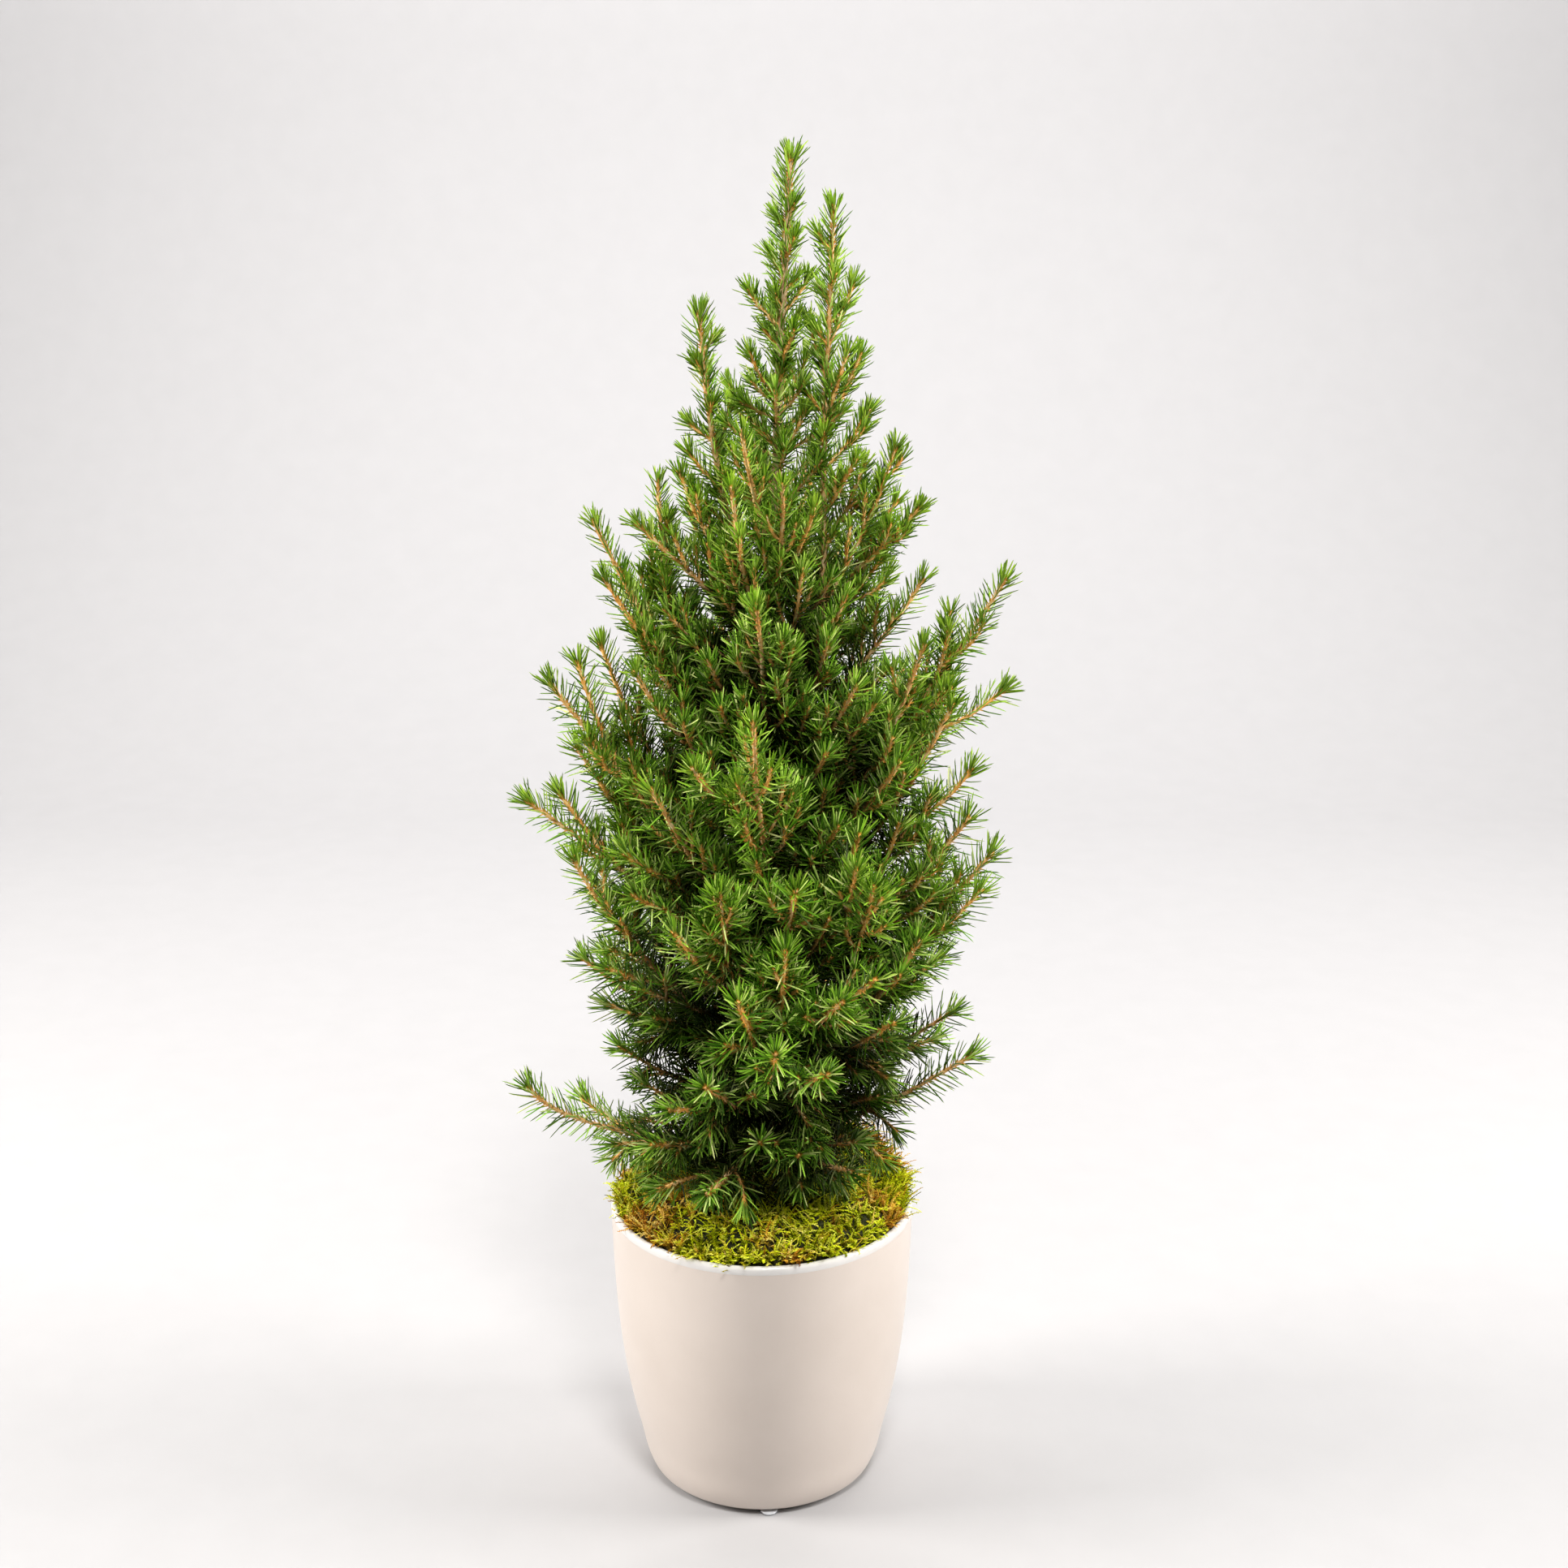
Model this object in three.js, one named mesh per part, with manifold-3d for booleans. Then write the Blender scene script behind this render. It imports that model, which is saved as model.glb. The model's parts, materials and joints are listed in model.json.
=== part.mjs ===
// Tabletop dwarf spruce in a glazed cachepot. Millimetres, +Z up, table plane at z = 0, pot axis on Z.
import * as THREE from "three";
import Module from "manifold-3d";

const wasm = await Module();
wasm.setup();

// ---------- driving dimensions ----------
const GAP = 0.3; // clearance between neighbouring pieces
const POT_TOP = 173; // rim height above the table
const POT_WALL = 3.6;
const FOOT_H = 2.0; // clear bumper height
const FOOT_R = 5.2;
const FOOT_RING = 62; // radius the bumpers sit on
const FOOT_AZIMUTHS = [274, 34, 154];
const FLOOR_T = 6; // pot floor thickness
const LINER_TOP = 158.5; // nursery pot rim height
const LINER_R_TOP = 74;
const LINER_R_BOTTOM = 54;
const LINER_WALL = 1.1;
const MOSS_R = 84; // moss radius, just inside the rim
const MOSS_HOLE = 8; // clear radius around the trunk
const TRUNK_FOOT = 132; // depth the trunk reaches inside the root ball
const TRUNK_TOP = 768;
const NEEDLE_CORE = 3.3; // radius of the packed needle core of a shoot

// outer pot profile above its base, [height, radius]: tight foot, barrel side, nearly straight at the top
const POT_SIDE = [
  [0, 63], [2, 66], [5, 68], [13, 70.8], [26, 73.6], [43, 77.6], [63, 81.3], [88, 84.6], [118, 87], [148, 88.3], [166, 88.6],
];

// trunk axis, [height, x, y, radius]
const TRUNK = [
  [TRUNK_FOOT, 3.5, 0, 6.6],
  [190, 4, 0, 6.2],
  [300, 5.5, 1.5, 5.1],
  [400, 7, 0.5, 4.1],
  [520, 8.5, -0.5, 3.2],
  [640, 10, 0, 2.4],
  [700, 13, 0, 2.2],
  [722, 14.2, 0, 3.1],
  [750, 15.8, 0, 2.9],
  [TRUNK_TOP, 16.6, 0, 1.6],
];

// short shoots that stay on the leaders, [height on leader, azimuth, reach, tip height]
const TRUNK_SHOOTS = [
  [676, 215, 22, 700],
  [640, 235, 28, 669],
  [684, 25, 17, 706],
  [656, 290, 24, 680],
  [662, 100, 26, 690],
  [628, 60, 34, 664],
  [612, 140, 36, 648],
];

// secondary leaders: axis points [x, y, z], radius at foot and near the tip, shoots as above
const LEADERS = {
  leader_right: {
    axis: [[14, -4, 458], [26, -12, 490], [33.5, -15, 530], [34, -14, 629], [37.5, -12, 700], [39, -11, 742]],
    shoots: [[668, 15, 14, 704], [628, 0, 20, 668], [632, 320, 16, 670], [604, 8, 26, 638], [652, 120, 18, 684], [580, 305, 30, 616], [530, 355, 40, 621]],
  },
  leader_left: {
    axis: [[3, -1, 524], [-12, -3, 556], [-21, -5, 600], [-28, -6, 645], [-32, -6, 688]],
    shoots: [[592, 185, 20, 616], [572, 175, 22, 596], [614, 40, 12, 640]],
  },
};

// limbs: [name, height on trunk, bow, tips], each tip [azimuth, reach, tip height, where it forks 0..1].
// Azimuth 0 = right, 90 = back, 180 = left, 270 = front. Bow > 0 turns the tip upward, < 0 lets it droop.
const LIMBS = [
  ["limb_left_01", 440, 0.42, [[160, 68, 596]]],
  ["limb_left_02", 504, 0.0, [[186, 77, 577]]],
  ["limb_left_03", 424, 0.06, [[181, 99, 578], [196, 95, 550, 0.22]]],
  ["limb_left_04", 352, 0.05, [[184, 124, 489], [180, 108, 499, 0.7], [171, 98, 506, 0.25]]],
  ["limb_left_05", 403, 0.08, [[209, 86, 503]]],
  ["limb_left_06", 322, 0.08, [[173, 112, 446]]],
  ["limb_left_07", 297, -0.08, [[183, 138, 419], [179, 121, 422, 0.74]]],
  ["limb_left_08", 335, 0.1, [[226, 92, 444]]],
  ["limb_left_09", 262, 0.12, [[196, 114, 395]]],
  ["limb_left_10", 240, 0.0, [[181, 108, 324], [171, 98, 289, 0.35]]],
  ["limb_left_11", 207, 0.32, [[189, 141, 254], [170, 114, 229, 0.3]]],
  ["limb_left_12", 212, 0.05, [[207, 101, 228]]],
  ["limb_front_01", 553, 0.1, [[248, 48, 632]]],
  ["limb_front_02", 497, 0.15, [[248, 60, 604]]],
  ["limb_front_03", 520, 0.06, [[274, 60, 606], [293, 54, 592, 0.2]]],
  ["limb_front_04", 437, 0.12, [[263, 71, 545], [280, 60, 520, 0.25]]],
  ["limb_front_05", 425, 0.1, [[306, 76, 500]]],
  ["limb_front_06", 342, 0.12, [[266, 120, 495]]],
  ["limb_front_07", 392, 0.04, [[246, 103, 463], [256, 98, 448, 0.5]]],
  ["limb_front_08", 283, 0.12, [[254, 104, 396], [240, 104, 372, 0.4]]],
  ["limb_front_09", 316, 0.05, [[277, 112, 402]]],
  ["limb_front_10", 252, 0.15, [[275, 92, 362], [262, 115, 342, 0.3]]],
  ["limb_front_11", 328, 0.1, [[301, 86, 400], [312, 94, 388, 0.35], [303, 88, 421, 0.3]]],
  ["limb_front_12", 262, 0.0, [[289, 120, 341], [299, 118, 350, 0.5]]],
  ["limb_front_13", 228, 0.0, [[272, 121, 315], [286, 118, 300, 0.3]]],
  ["limb_front_14", 222, 0.0, [[253, 115, 291], [238, 104, 268, 0.4]]],
  ["limb_front_15", 210, -0.05, [[251, 104, 222], [230, 98, 213, 0.25]]],
  ["limb_front_16", 209, 0.0, [[300, 93, 227], [281, 88, 240, 0.35]]],
  ["limb_right_01", 505, 0.0, [[10, 80, 579], [18, 72, 585, 0.5]]],
  ["limb_right_02", 441, 0.05, [[14, 87, 541]]],
  ["limb_right_03", 390, 0.08, [[358, 128, 546], [5, 133, 480, 0.35]]],
  ["limb_right_04", 376, 0.16, [[336, 90, 517], [324, 86, 455, 0.3]]],
  ["limb_right_05", 338, 0.12, [[349, 102, 479], [356, 113, 439, 0.35]]],
  ["limb_right_06", 294, 0.08, [[348, 114, 416], [338, 78, 414, 0.3]]],
  ["limb_right_07", 264, 0.06, [[1, 128, 387], [354, 121, 369, 0.3]]],
  ["limb_right_08", 245, 0.08, [[329, 98, 353], [315, 98, 312, 0.3]]],
  ["limb_right_09", 226, 0.0, [[6, 110, 286]]],
  ["limb_right_10", 206, 0.05, [[355, 120, 268]]],
  ["limb_back_01", 540, 0.08, [[98, 50, 616], [60, 44, 598, 0.2]]],
  ["limb_back_02", 492, 0.1, [[142, 62, 578], [118, 58, 560, 0.3]]],
  ["limb_back_03", 456, 0.1, [[62, 80, 552], [38, 84, 540, 0.3]]],
  ["limb_back_04", 412, 0.1, [[112, 94, 520], [90, 92, 500, 0.3], [138, 88, 492, 0.35]]],
  ["limb_back_05", 368, 0.08, [[48, 116, 474], [28, 118, 462, 0.3], [66, 108, 452, 0.35]]],
  ["limb_back_06", 328, 0.1, [[118, 118, 438], [146, 118, 420, 0.3], [94, 116, 412, 0.35]]],
  ["limb_back_07", 284, 0.06, [[60, 124, 376], [34, 122, 366, 0.3], [84, 120, 352, 0.35]]],
  ["limb_back_08", 246, 0.04, [[128, 120, 328], [152, 116, 308, 0.3], [104, 118, 304, 0.35]]],
  ["limb_back_09", 216, 0.04, [[72, 118, 272], [44, 116, 250, 0.3], [100, 112, 246, 0.35]]],
];

// ---------- colours ----------
const COL = {
  glaze: 0xe9e4de, clear: 0xdfe3e4, liner: 0x26262a, soil: 0x3a2a1f, wood: 0x93693f,
  moss: [0x8d8f3c, 0x7f8a36, 0x9a8f45, 0x74802f],
  needle: [0x3f6f2b, 0x376427, 0x4a7a30, 0x335c27],
};

// ---------- helpers ----------
const group = new THREE.Group();
group.name = "tabletop_tree";
const rad = (deg) => (deg * Math.PI) / 180;

function add(name, geometry, color, rough, extra = {}) {
  geometry.computeVertexNormals();
  const mesh = new THREE.Mesh(geometry, new THREE.MeshStandardMaterial({ color, roughness: rough, ...extra }));
  mesh.name = name;
  group.add(mesh);
  return mesh;
}

// Turns [z, r] pairs about Z; the profile starts and ends on the axis or closes on itself.
function turned(profile, segments) {
  const g = new THREE.LatheGeometry(profile.map(([z, r]) => new THREE.Vector2(r, z)), segments);
  return g.rotateX(Math.PI / 2);
}

function toSolid(g) {
  const flat = g.index ? g.toNonIndexed() : g;
  const pos = flat.getAttribute("position");
  const seen = new Map(), verts = [], tris = [];
  for (let i = 0; i < pos.count; i++) {
    const p = [pos.getX(i), pos.getY(i), pos.getZ(i)];
    const key = p.map((v) => Math.round(v * 1e3)).join();
    if (!seen.has(key)) { seen.set(key, verts.length / 3); verts.push(...p); }
    tris.push(seen.get(key));
  }
  const keep = [];
  for (let i = 0; i < tris.length; i += 3) {
    const [a, b, c] = tris.slice(i, i + 3);
    if (a !== b && b !== c && a !== c) keep.push(a, b, c);
  }
  let m = new wasm.Manifold(new wasm.Mesh({ numProp: 3, vertProperties: new Float32Array(verts), triVerts: new Uint32Array(keep) }));
  if (m.volume() < 0) {
    for (let i = 0; i < keep.length; i += 3) [keep[i], keep[i + 1]] = [keep[i + 1], keep[i]];
    m = new wasm.Manifold(new wasm.Mesh({ numProp: 3, vertProperties: new Float32Array(verts), triVerts: new Uint32Array(keep) }));
  }
  return m;
}

function toGeometry(solid) {
  const m = solid.getMesh(), n = m.numProp, v = new Float32Array(m.numVert * 3);
  for (let i = 0; i < m.numVert; i++) v.set(m.vertProperties.subarray(i * n, i * n + 3), i * 3);
  return new THREE.BufferGeometry().setAttribute("position", new THREE.BufferAttribute(v, 3)).setIndex(new THREE.BufferAttribute(m.triVerts, 1));
}

// A closed round bar along a curve, its radius given by radiusAt(0..1), with a low cone at each end.
function bar(curve, radiusAt, rings, sides) {
  const pos = [], idx = [];
  let side = new THREE.Vector3(0, 0, 1);
  if (Math.abs(curve.getTangent(0).z) > 0.8) side.set(1, 0, 0);
  for (let i = 0; i <= rings; i++) {
    const t = i / rings, c = curve.getPoint(t), d = curve.getTangent(t);
    const u = side.clone().sub(d.clone().multiplyScalar(side.dot(d))).normalize();
    side = u;
    const v = new THREE.Vector3().crossVectors(d, u), r = radiusAt(t);
    for (let k = 0; k < sides; k++) {
      const a = (2 * Math.PI * k) / sides;
      const p = c.clone().addScaledVector(u, r * Math.cos(a)).addScaledVector(v, r * Math.sin(a));
      pos.push(p.x, p.y, p.z);
    }
  }
  for (let i = 0; i < rings; i++)
    for (let k = 0; k < sides; k++) {
      const a = i * sides + k, b = i * sides + ((k + 1) % sides);
      idx.push(a, b, b + sides, a, b + sides, a + sides);
    }
  const first = pos.length / 3, c0 = curve.getPoint(0), c1 = curve.getPoint(1).addScaledVector(curve.getTangent(1), radiusAt(1) * 0.9);
  pos.push(c0.x, c0.y, c0.z, c1.x, c1.y, c1.z);
  for (let k = 0; k < sides; k++) {
    const n = (k + 1) % sides;
    idx.push(first, n, k, first + 1, rings * sides + k, rings * sides + n);
  }
  return new THREE.BufferGeometry().setAttribute("position", new THREE.BufferAttribute(new Float32Array(pos), 3)).setIndex(idx);
}

function trunkAt(z) {
  let i = 1;
  while (i < TRUNK.length - 1 && z > TRUNK[i][0]) i++;
  const [z0, x0, y0, r0] = TRUNK[i - 1], [z1, x1, y1, r1] = TRUNK[i], f = (z - z0) / (z1 - z0);
  return { x: x0 + f * (x1 - x0), y: y0 + f * (y1 - y0), r: r0 + f * (r1 - r0) };
}

// The curve from a foot to a tip: bow moves the middle outward and down.
function shootCurve(foot, tip, bow) {
  const mid = new THREE.Vector3(
    foot.x + (tip.x - foot.x) * (0.5 + bow), foot.y + (tip.y - foot.y) * (0.5 + bow), foot.z + (tip.z - foot.z) * (0.5 - bow));
  return new THREE.QuadraticBezierCurve3(foot, mid, tip);
}

const woodThenNeedles = (bare, core) => (t) => {
  if (t < bare) return 1.5;
  const s = (t - bare) / (1 - bare);
  return core * (0.75 + 0.35 * Math.sin(Math.PI * Math.min(1, s * 1.1)) - 0.3 * s * s);
};

function union(parts) {
  let s = toSolid(parts[0]);
  for (const p of parts.slice(1)) s = s.add(toSolid(p));
  return toGeometry(s);
}

// ---------- cachepot ----------
const base = FOOT_H + GAP;
const rimLow = POT_TOP - 3.2;
const outer = POT_SIDE.map(([z, r]) => [z + base, r]);
const wallAt = (z) => POT_WALL + 1.6 * Math.max(0, 1 - z / 50);
const inner = POT_SIDE.filter(([z]) => z > FLOOR_T).map(([z, r]) => [z + base, r - wallAt(z)]).reverse();
add("planter_pot", turned([
  [base, 0], ...outer,
  [rimLow + 1, 88.9], [POT_TOP - 0.8, 88.3], [POT_TOP, 86.9], [POT_TOP - 0.8, 85.4], [rimLow - 1, 85],
  ...inner.slice(1), [base + FLOOR_T, 61.5], [base + FLOOR_T, 0],
], 48), COL.glaze, 0.32);

// ---------- clear bumpers ----------
FOOT_AZIMUTHS.forEach((a, i) => {
  const g = turned([[0, 0], [0, FOOT_R - 1.2], [0.7, FOOT_R - 0.3], [FOOT_H, FOOT_R], [FOOT_H, 0]], 20);
  g.translate(FOOT_RING * Math.cos(rad(a)), FOOT_RING * Math.sin(rad(a)), 0);
  add("bumper_foot_" + (i + 1), g, COL.clear, 0.15, { transparent: true, opacity: 0.55 });
});

// ---------- nursery pot ----------
const linerFoot = base + FLOOR_T + GAP;
const linerR = (z) => LINER_R_BOTTOM + ((LINER_R_TOP - LINER_R_BOTTOM) * (z - linerFoot)) / (LINER_TOP - linerFoot);
let liner = toSolid(turned([
  [linerFoot, 0], [linerFoot, LINER_R_BOTTOM - 2], [linerFoot + 2, linerR(linerFoot + 2)],
  [LINER_TOP - 12, linerR(LINER_TOP - 12)], [LINER_TOP - 12, linerR(LINER_TOP - 12) + 2.2], [LINER_TOP - 1, LINER_R_TOP + 2.6], [LINER_TOP, LINER_R_TOP + 2],
  [LINER_TOP, LINER_R_TOP - LINER_WALL], [linerFoot + 3, linerR(linerFoot + 3) - LINER_WALL - 0.5], [linerFoot + 1.6, LINER_R_BOTTOM - 4], [linerFoot + 1.6, 0],
], 36));
for (let i = 0; i < 6; i++) {
  const hole = new THREE.CylinderGeometry(5, 5, 6, 10).rotateX(Math.PI / 2);
  hole.translate(36 * Math.cos(rad(60 * i)), 36 * Math.sin(rad(60 * i)), linerFoot + 1);
  liner = liner.subtract(toSolid(hole));
}
add("grow_pot", toGeometry(liner), COL.liner, 0.6);

// ---------- root ball ----------
const ballFoot = linerFoot + 1.6 + GAP;
const foot = trunkAt(TRUNK_FOOT);
let ball = toSolid(turned([
  [ballFoot, 0], [ballFoot, LINER_R_BOTTOM - 6], [ballFoot + 4, linerR(ballFoot + 4) - LINER_WALL - 1.2],
  [LINER_TOP - 14, linerR(LINER_TOP - 14) - LINER_WALL - 0.6], [LINER_TOP - 3, LINER_R_TOP - LINER_WALL - 2.4], [LINER_TOP, LINER_R_TOP - LINER_WALL - 7], [LINER_TOP, 0],
], 36));
const socket = new THREE.CylinderGeometry(foot.r + GAP, foot.r + GAP, 60, 16).rotateX(Math.PI / 2);
socket.translate(foot.x + 0.2, foot.y, TRUNK_FOOT - GAP + 30);
ball = ball.subtract(toSolid(socket));
add("root_ball", toGeometry(ball), COL.soil, 0.95);

// ---------- moss cover: four cut mats with a low mound ----------
const MOSS_FOOT = LINER_TOP + GAP;
const mossTop = (x, y) => {
  const r = Math.hypot(x, y) / MOSS_R;
  const heap = 8 * Math.exp(-(((x - 60) / 24) ** 2) - ((y - 36) / 24) ** 2); // the moss is heaped up at the back right
  return POT_TOP + 17 - 15 * r ** 5 + 3.5 * Math.sin(x / 17 + 1) * Math.cos(y / 14) + 5 * (x / MOSS_R) * Math.max(0, y / MOSS_R) + heap;
};
const MOSS_SEG = 7, MOSS_RADII = [MOSS_HOLE, 32, 58, 76, MOSS_R];
for (let q = 0; q < 4; q++) {
  const a0 = rad(90 * q + 20), step = rad(90) / MOSS_SEG, cut = 0.5;
  const pos = [], idx = [], across = MOSS_SEG + 1, layers = MOSS_RADII.length;
  for (const top of [true, false])
    MOSS_RADII.forEach((r, j) => {
      for (let k = 0; k <= MOSS_SEG; k++) {
        const trim = k === 0 ? cut / r : k === MOSS_SEG ? -cut / r : 0;
        const a = a0 + k * step + trim, x = r * Math.cos(a) + (j === 0 ? 3.9 : 0), y = r * Math.sin(a);
        const edge = j === layers - 1 ? MOSS_FOOT + 7 : mossTop(x, y);
        pos.push(x, y, top ? edge : MOSS_FOOT);
      }
    });
  const at = (layer, j, k) => layer * across * layers + j * across + k;
  const quad = (a, b, c, d) => idx.push(a, b, c, a, c, d);
  for (let j = 0; j < layers - 1; j++)
    for (let k = 0; k < MOSS_SEG; k++) {
      quad(at(0, j, k), at(0, j + 1, k), at(0, j + 1, k + 1), at(0, j, k + 1));
      quad(at(1, j, k), at(1, j, k + 1), at(1, j + 1, k + 1), at(1, j + 1, k));
    }
  for (let k = 0; k < MOSS_SEG; k++) {
    quad(at(1, 0, k), at(0, 0, k), at(0, 0, k + 1), at(1, 0, k + 1));
    quad(at(1, layers - 1, k), at(1, layers - 1, k + 1), at(0, layers - 1, k + 1), at(0, layers - 1, k));
  }
  for (let j = 0; j < layers - 1; j++) {
    quad(at(1, j, 0), at(1, j + 1, 0), at(0, j + 1, 0), at(0, j, 0));
    quad(at(1, j, MOSS_SEG), at(0, j, MOSS_SEG), at(0, j + 1, MOSS_SEG), at(1, j + 1, MOSS_SEG));
  }
  const g = new THREE.BufferGeometry().setAttribute("position", new THREE.BufferAttribute(new Float32Array(pos), 3)).setIndex(idx);
  add("moss_mat_" + (q + 1), g, COL.moss[q], 0.95);
}

// ---------- trunk and the two secondary leaders ----------
function shootsOn(curve, list) {
  return list.map(([h, az, reach, top]) => {
    let t = 0;
    while (t < 1 && curve.getPoint(t).z < h) t += 0.005;
    const p = curve.getPoint(t);
    const tip = new THREE.Vector3(p.x + reach * Math.cos(rad(az)), p.y + reach * Math.sin(rad(az)), top);
    return bar(shootCurve(p, tip, 0.08), woodThenNeedles(0.2, NEEDLE_CORE - 0.5), 3, 5);
  });
}
const trunkCurve = new THREE.CatmullRomCurve3(TRUNK.map(([z, x, y]) => new THREE.Vector3(x, y, z)));
trunkCurve.getPoint(0);
const trunkBar = bar(trunkCurve, (t) => trunkAt(trunkCurve.getPoint(t).z).r, 14, 7);
add("trunk", union([trunkBar, ...shootsOn(trunkCurve, TRUNK_SHOOTS)]), COL.wood, 0.85);

for (const [name, { axis, shoots }] of Object.entries(LEADERS)) {
  const curve = new THREE.CatmullRomCurve3(axis.map((p) => new THREE.Vector3(...p)));
  const body = bar(curve, (t) => (t < 0.42 ? 2.3 - 0.8 * t : woodThenNeedles(0.42, NEEDLE_CORE)(t)), 10, 6);
  add(name, union([body, ...shootsOn(curve, shoots)]), COL.needle[2], 0.7);
}

// ---------- limbs ----------
LIMBS.forEach(([name, h, bow, tips], n) => {
  const t0 = trunkAt(h), lead = rad(tips[0][0]);
  const start = t0.r + 1.5 * 0.35 + 0.8;
  const root = new THREE.Vector3(t0.x + start * Math.cos(lead), t0.y + start * Math.sin(lead), h);
  let main = null;
  const parts = tips.map(([az, reach, top, fork]) => {
    const tip = new THREE.Vector3(t0.x + reach * Math.cos(rad(az)), t0.y + reach * Math.sin(rad(az)), top);
    if (!main) {
      main = shootCurve(root, tip, bow);
      return bar(main, woodThenNeedles(0.14, NEEDLE_CORE), 5, 5);
    }
    return bar(shootCurve(main.getPoint(fork), tip, bow), woodThenNeedles(0.1, NEEDLE_CORE - 0.4), 3, 5);
  });
  add(name, union(parts), COL.needle[n % 4], 0.7);
});

export default group;
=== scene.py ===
import json
import math

import bpy
import numpy as np
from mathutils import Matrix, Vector
from mathutils.geometry import delaunay_2d_cdt


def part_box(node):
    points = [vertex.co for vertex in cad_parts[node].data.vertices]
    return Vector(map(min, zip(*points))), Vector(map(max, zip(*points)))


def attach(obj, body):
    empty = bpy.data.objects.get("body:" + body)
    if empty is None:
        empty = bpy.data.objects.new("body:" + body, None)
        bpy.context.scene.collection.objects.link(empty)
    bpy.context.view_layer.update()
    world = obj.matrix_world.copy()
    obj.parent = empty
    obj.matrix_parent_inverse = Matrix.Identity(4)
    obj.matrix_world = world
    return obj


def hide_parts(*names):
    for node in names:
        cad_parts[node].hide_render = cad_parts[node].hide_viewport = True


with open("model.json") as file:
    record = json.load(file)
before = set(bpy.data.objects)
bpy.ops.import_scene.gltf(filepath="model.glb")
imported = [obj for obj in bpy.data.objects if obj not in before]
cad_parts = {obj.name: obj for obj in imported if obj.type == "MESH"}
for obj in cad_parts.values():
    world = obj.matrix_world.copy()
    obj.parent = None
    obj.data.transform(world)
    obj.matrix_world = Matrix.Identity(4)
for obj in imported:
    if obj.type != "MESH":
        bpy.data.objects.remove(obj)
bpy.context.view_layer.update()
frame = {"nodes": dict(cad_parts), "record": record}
MM = 0.001
UP = np.array([0.0, 0.0, 1.0])


# ---- camera
SENSOR_WIDTH, LENS = 36.0, 52.17  # mm
CAMERA_PLACE = (0.0131, -1.221, 0.784)  # m
CAMERA_TILT = 73.68  # degrees up from straight down
CLIP_NEAR, CLIP_FAR = 0.05, 30.0  # m


def make_camera():
    data = bpy.data.cameras.new("camera")
    data.sensor_width = SENSOR_WIDTH
    data.lens = LENS
    data.clip_start, data.clip_end = CLIP_NEAR, CLIP_FAR
    cam = bpy.data.objects.new("camera", data)
    cam.location = CAMERA_PLACE
    cam.rotation_euler = (math.radians(CAMERA_TILT), 0.0, 0.0)
    bpy.context.scene.collection.objects.link(cam)
    bpy.context.scene.camera = cam


make_camera()

# ---- the tree's layout, in millimetres
POT_TOP = 173.0
MOSS_R = 84.0  # outer radius of the moss
MOSS_HOLE = 8.0  # radius left free round the trunk
MOSS_FOOT = 158.8  # height of the moss's underside
# height, x, y, radius of the trunk
TRUNK = [
    (150, 3.6, 0, 6.4), (190, 4, 0, 6.2), (300, 5.5, 1.5, 5.1), (400, 7, 0.5, 4.1), (520, 8.5, -0.5, 3.2),
    (640, 10, 0, 2.4), (700, 13, 0, 1.9), (750, 15.8, 0, 1.3), (766, 16.8, 0, 0.9),
]
# side shoots of the trunk and the leaders: height of the foot, azimuth, reach, height of the tip
TRUNK_SHOOTS = [
    (676, 215, 22, 700), (640, 235, 28, 669), (684, 25, 17, 706), (656, 290, 24, 680),
    (662, 100, 26, 690), (628, 60, 34, 664), (612, 140, 36, 648),
]
LEADER_RIGHT = [
    (14, -4, 458), (26, -12, 490), (33.5, -15, 530), (34, -14, 629), (37.5, -12, 700), (39, -11, 741),
]
LEADER_RIGHT_SHOOTS = [
    (668, 15, 14, 704), (628, 0, 20, 668), (632, 320, 16, 670), (604, 8, 26, 638), (652, 120, 18, 684),
    (580, 305, 30, 616), (530, 355, 40, 621),
]
LEADER_LEFT = [(3, -1, 524), (-12, -3, 556), (-21, -5, 600), (-28, -6, 645), (-32, -6, 687)]
LEADER_LEFT_SHOOTS = [(592, 185, 20, 616), (572, 175, 22, 596), (614, 40, 12, 640)]

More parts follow.
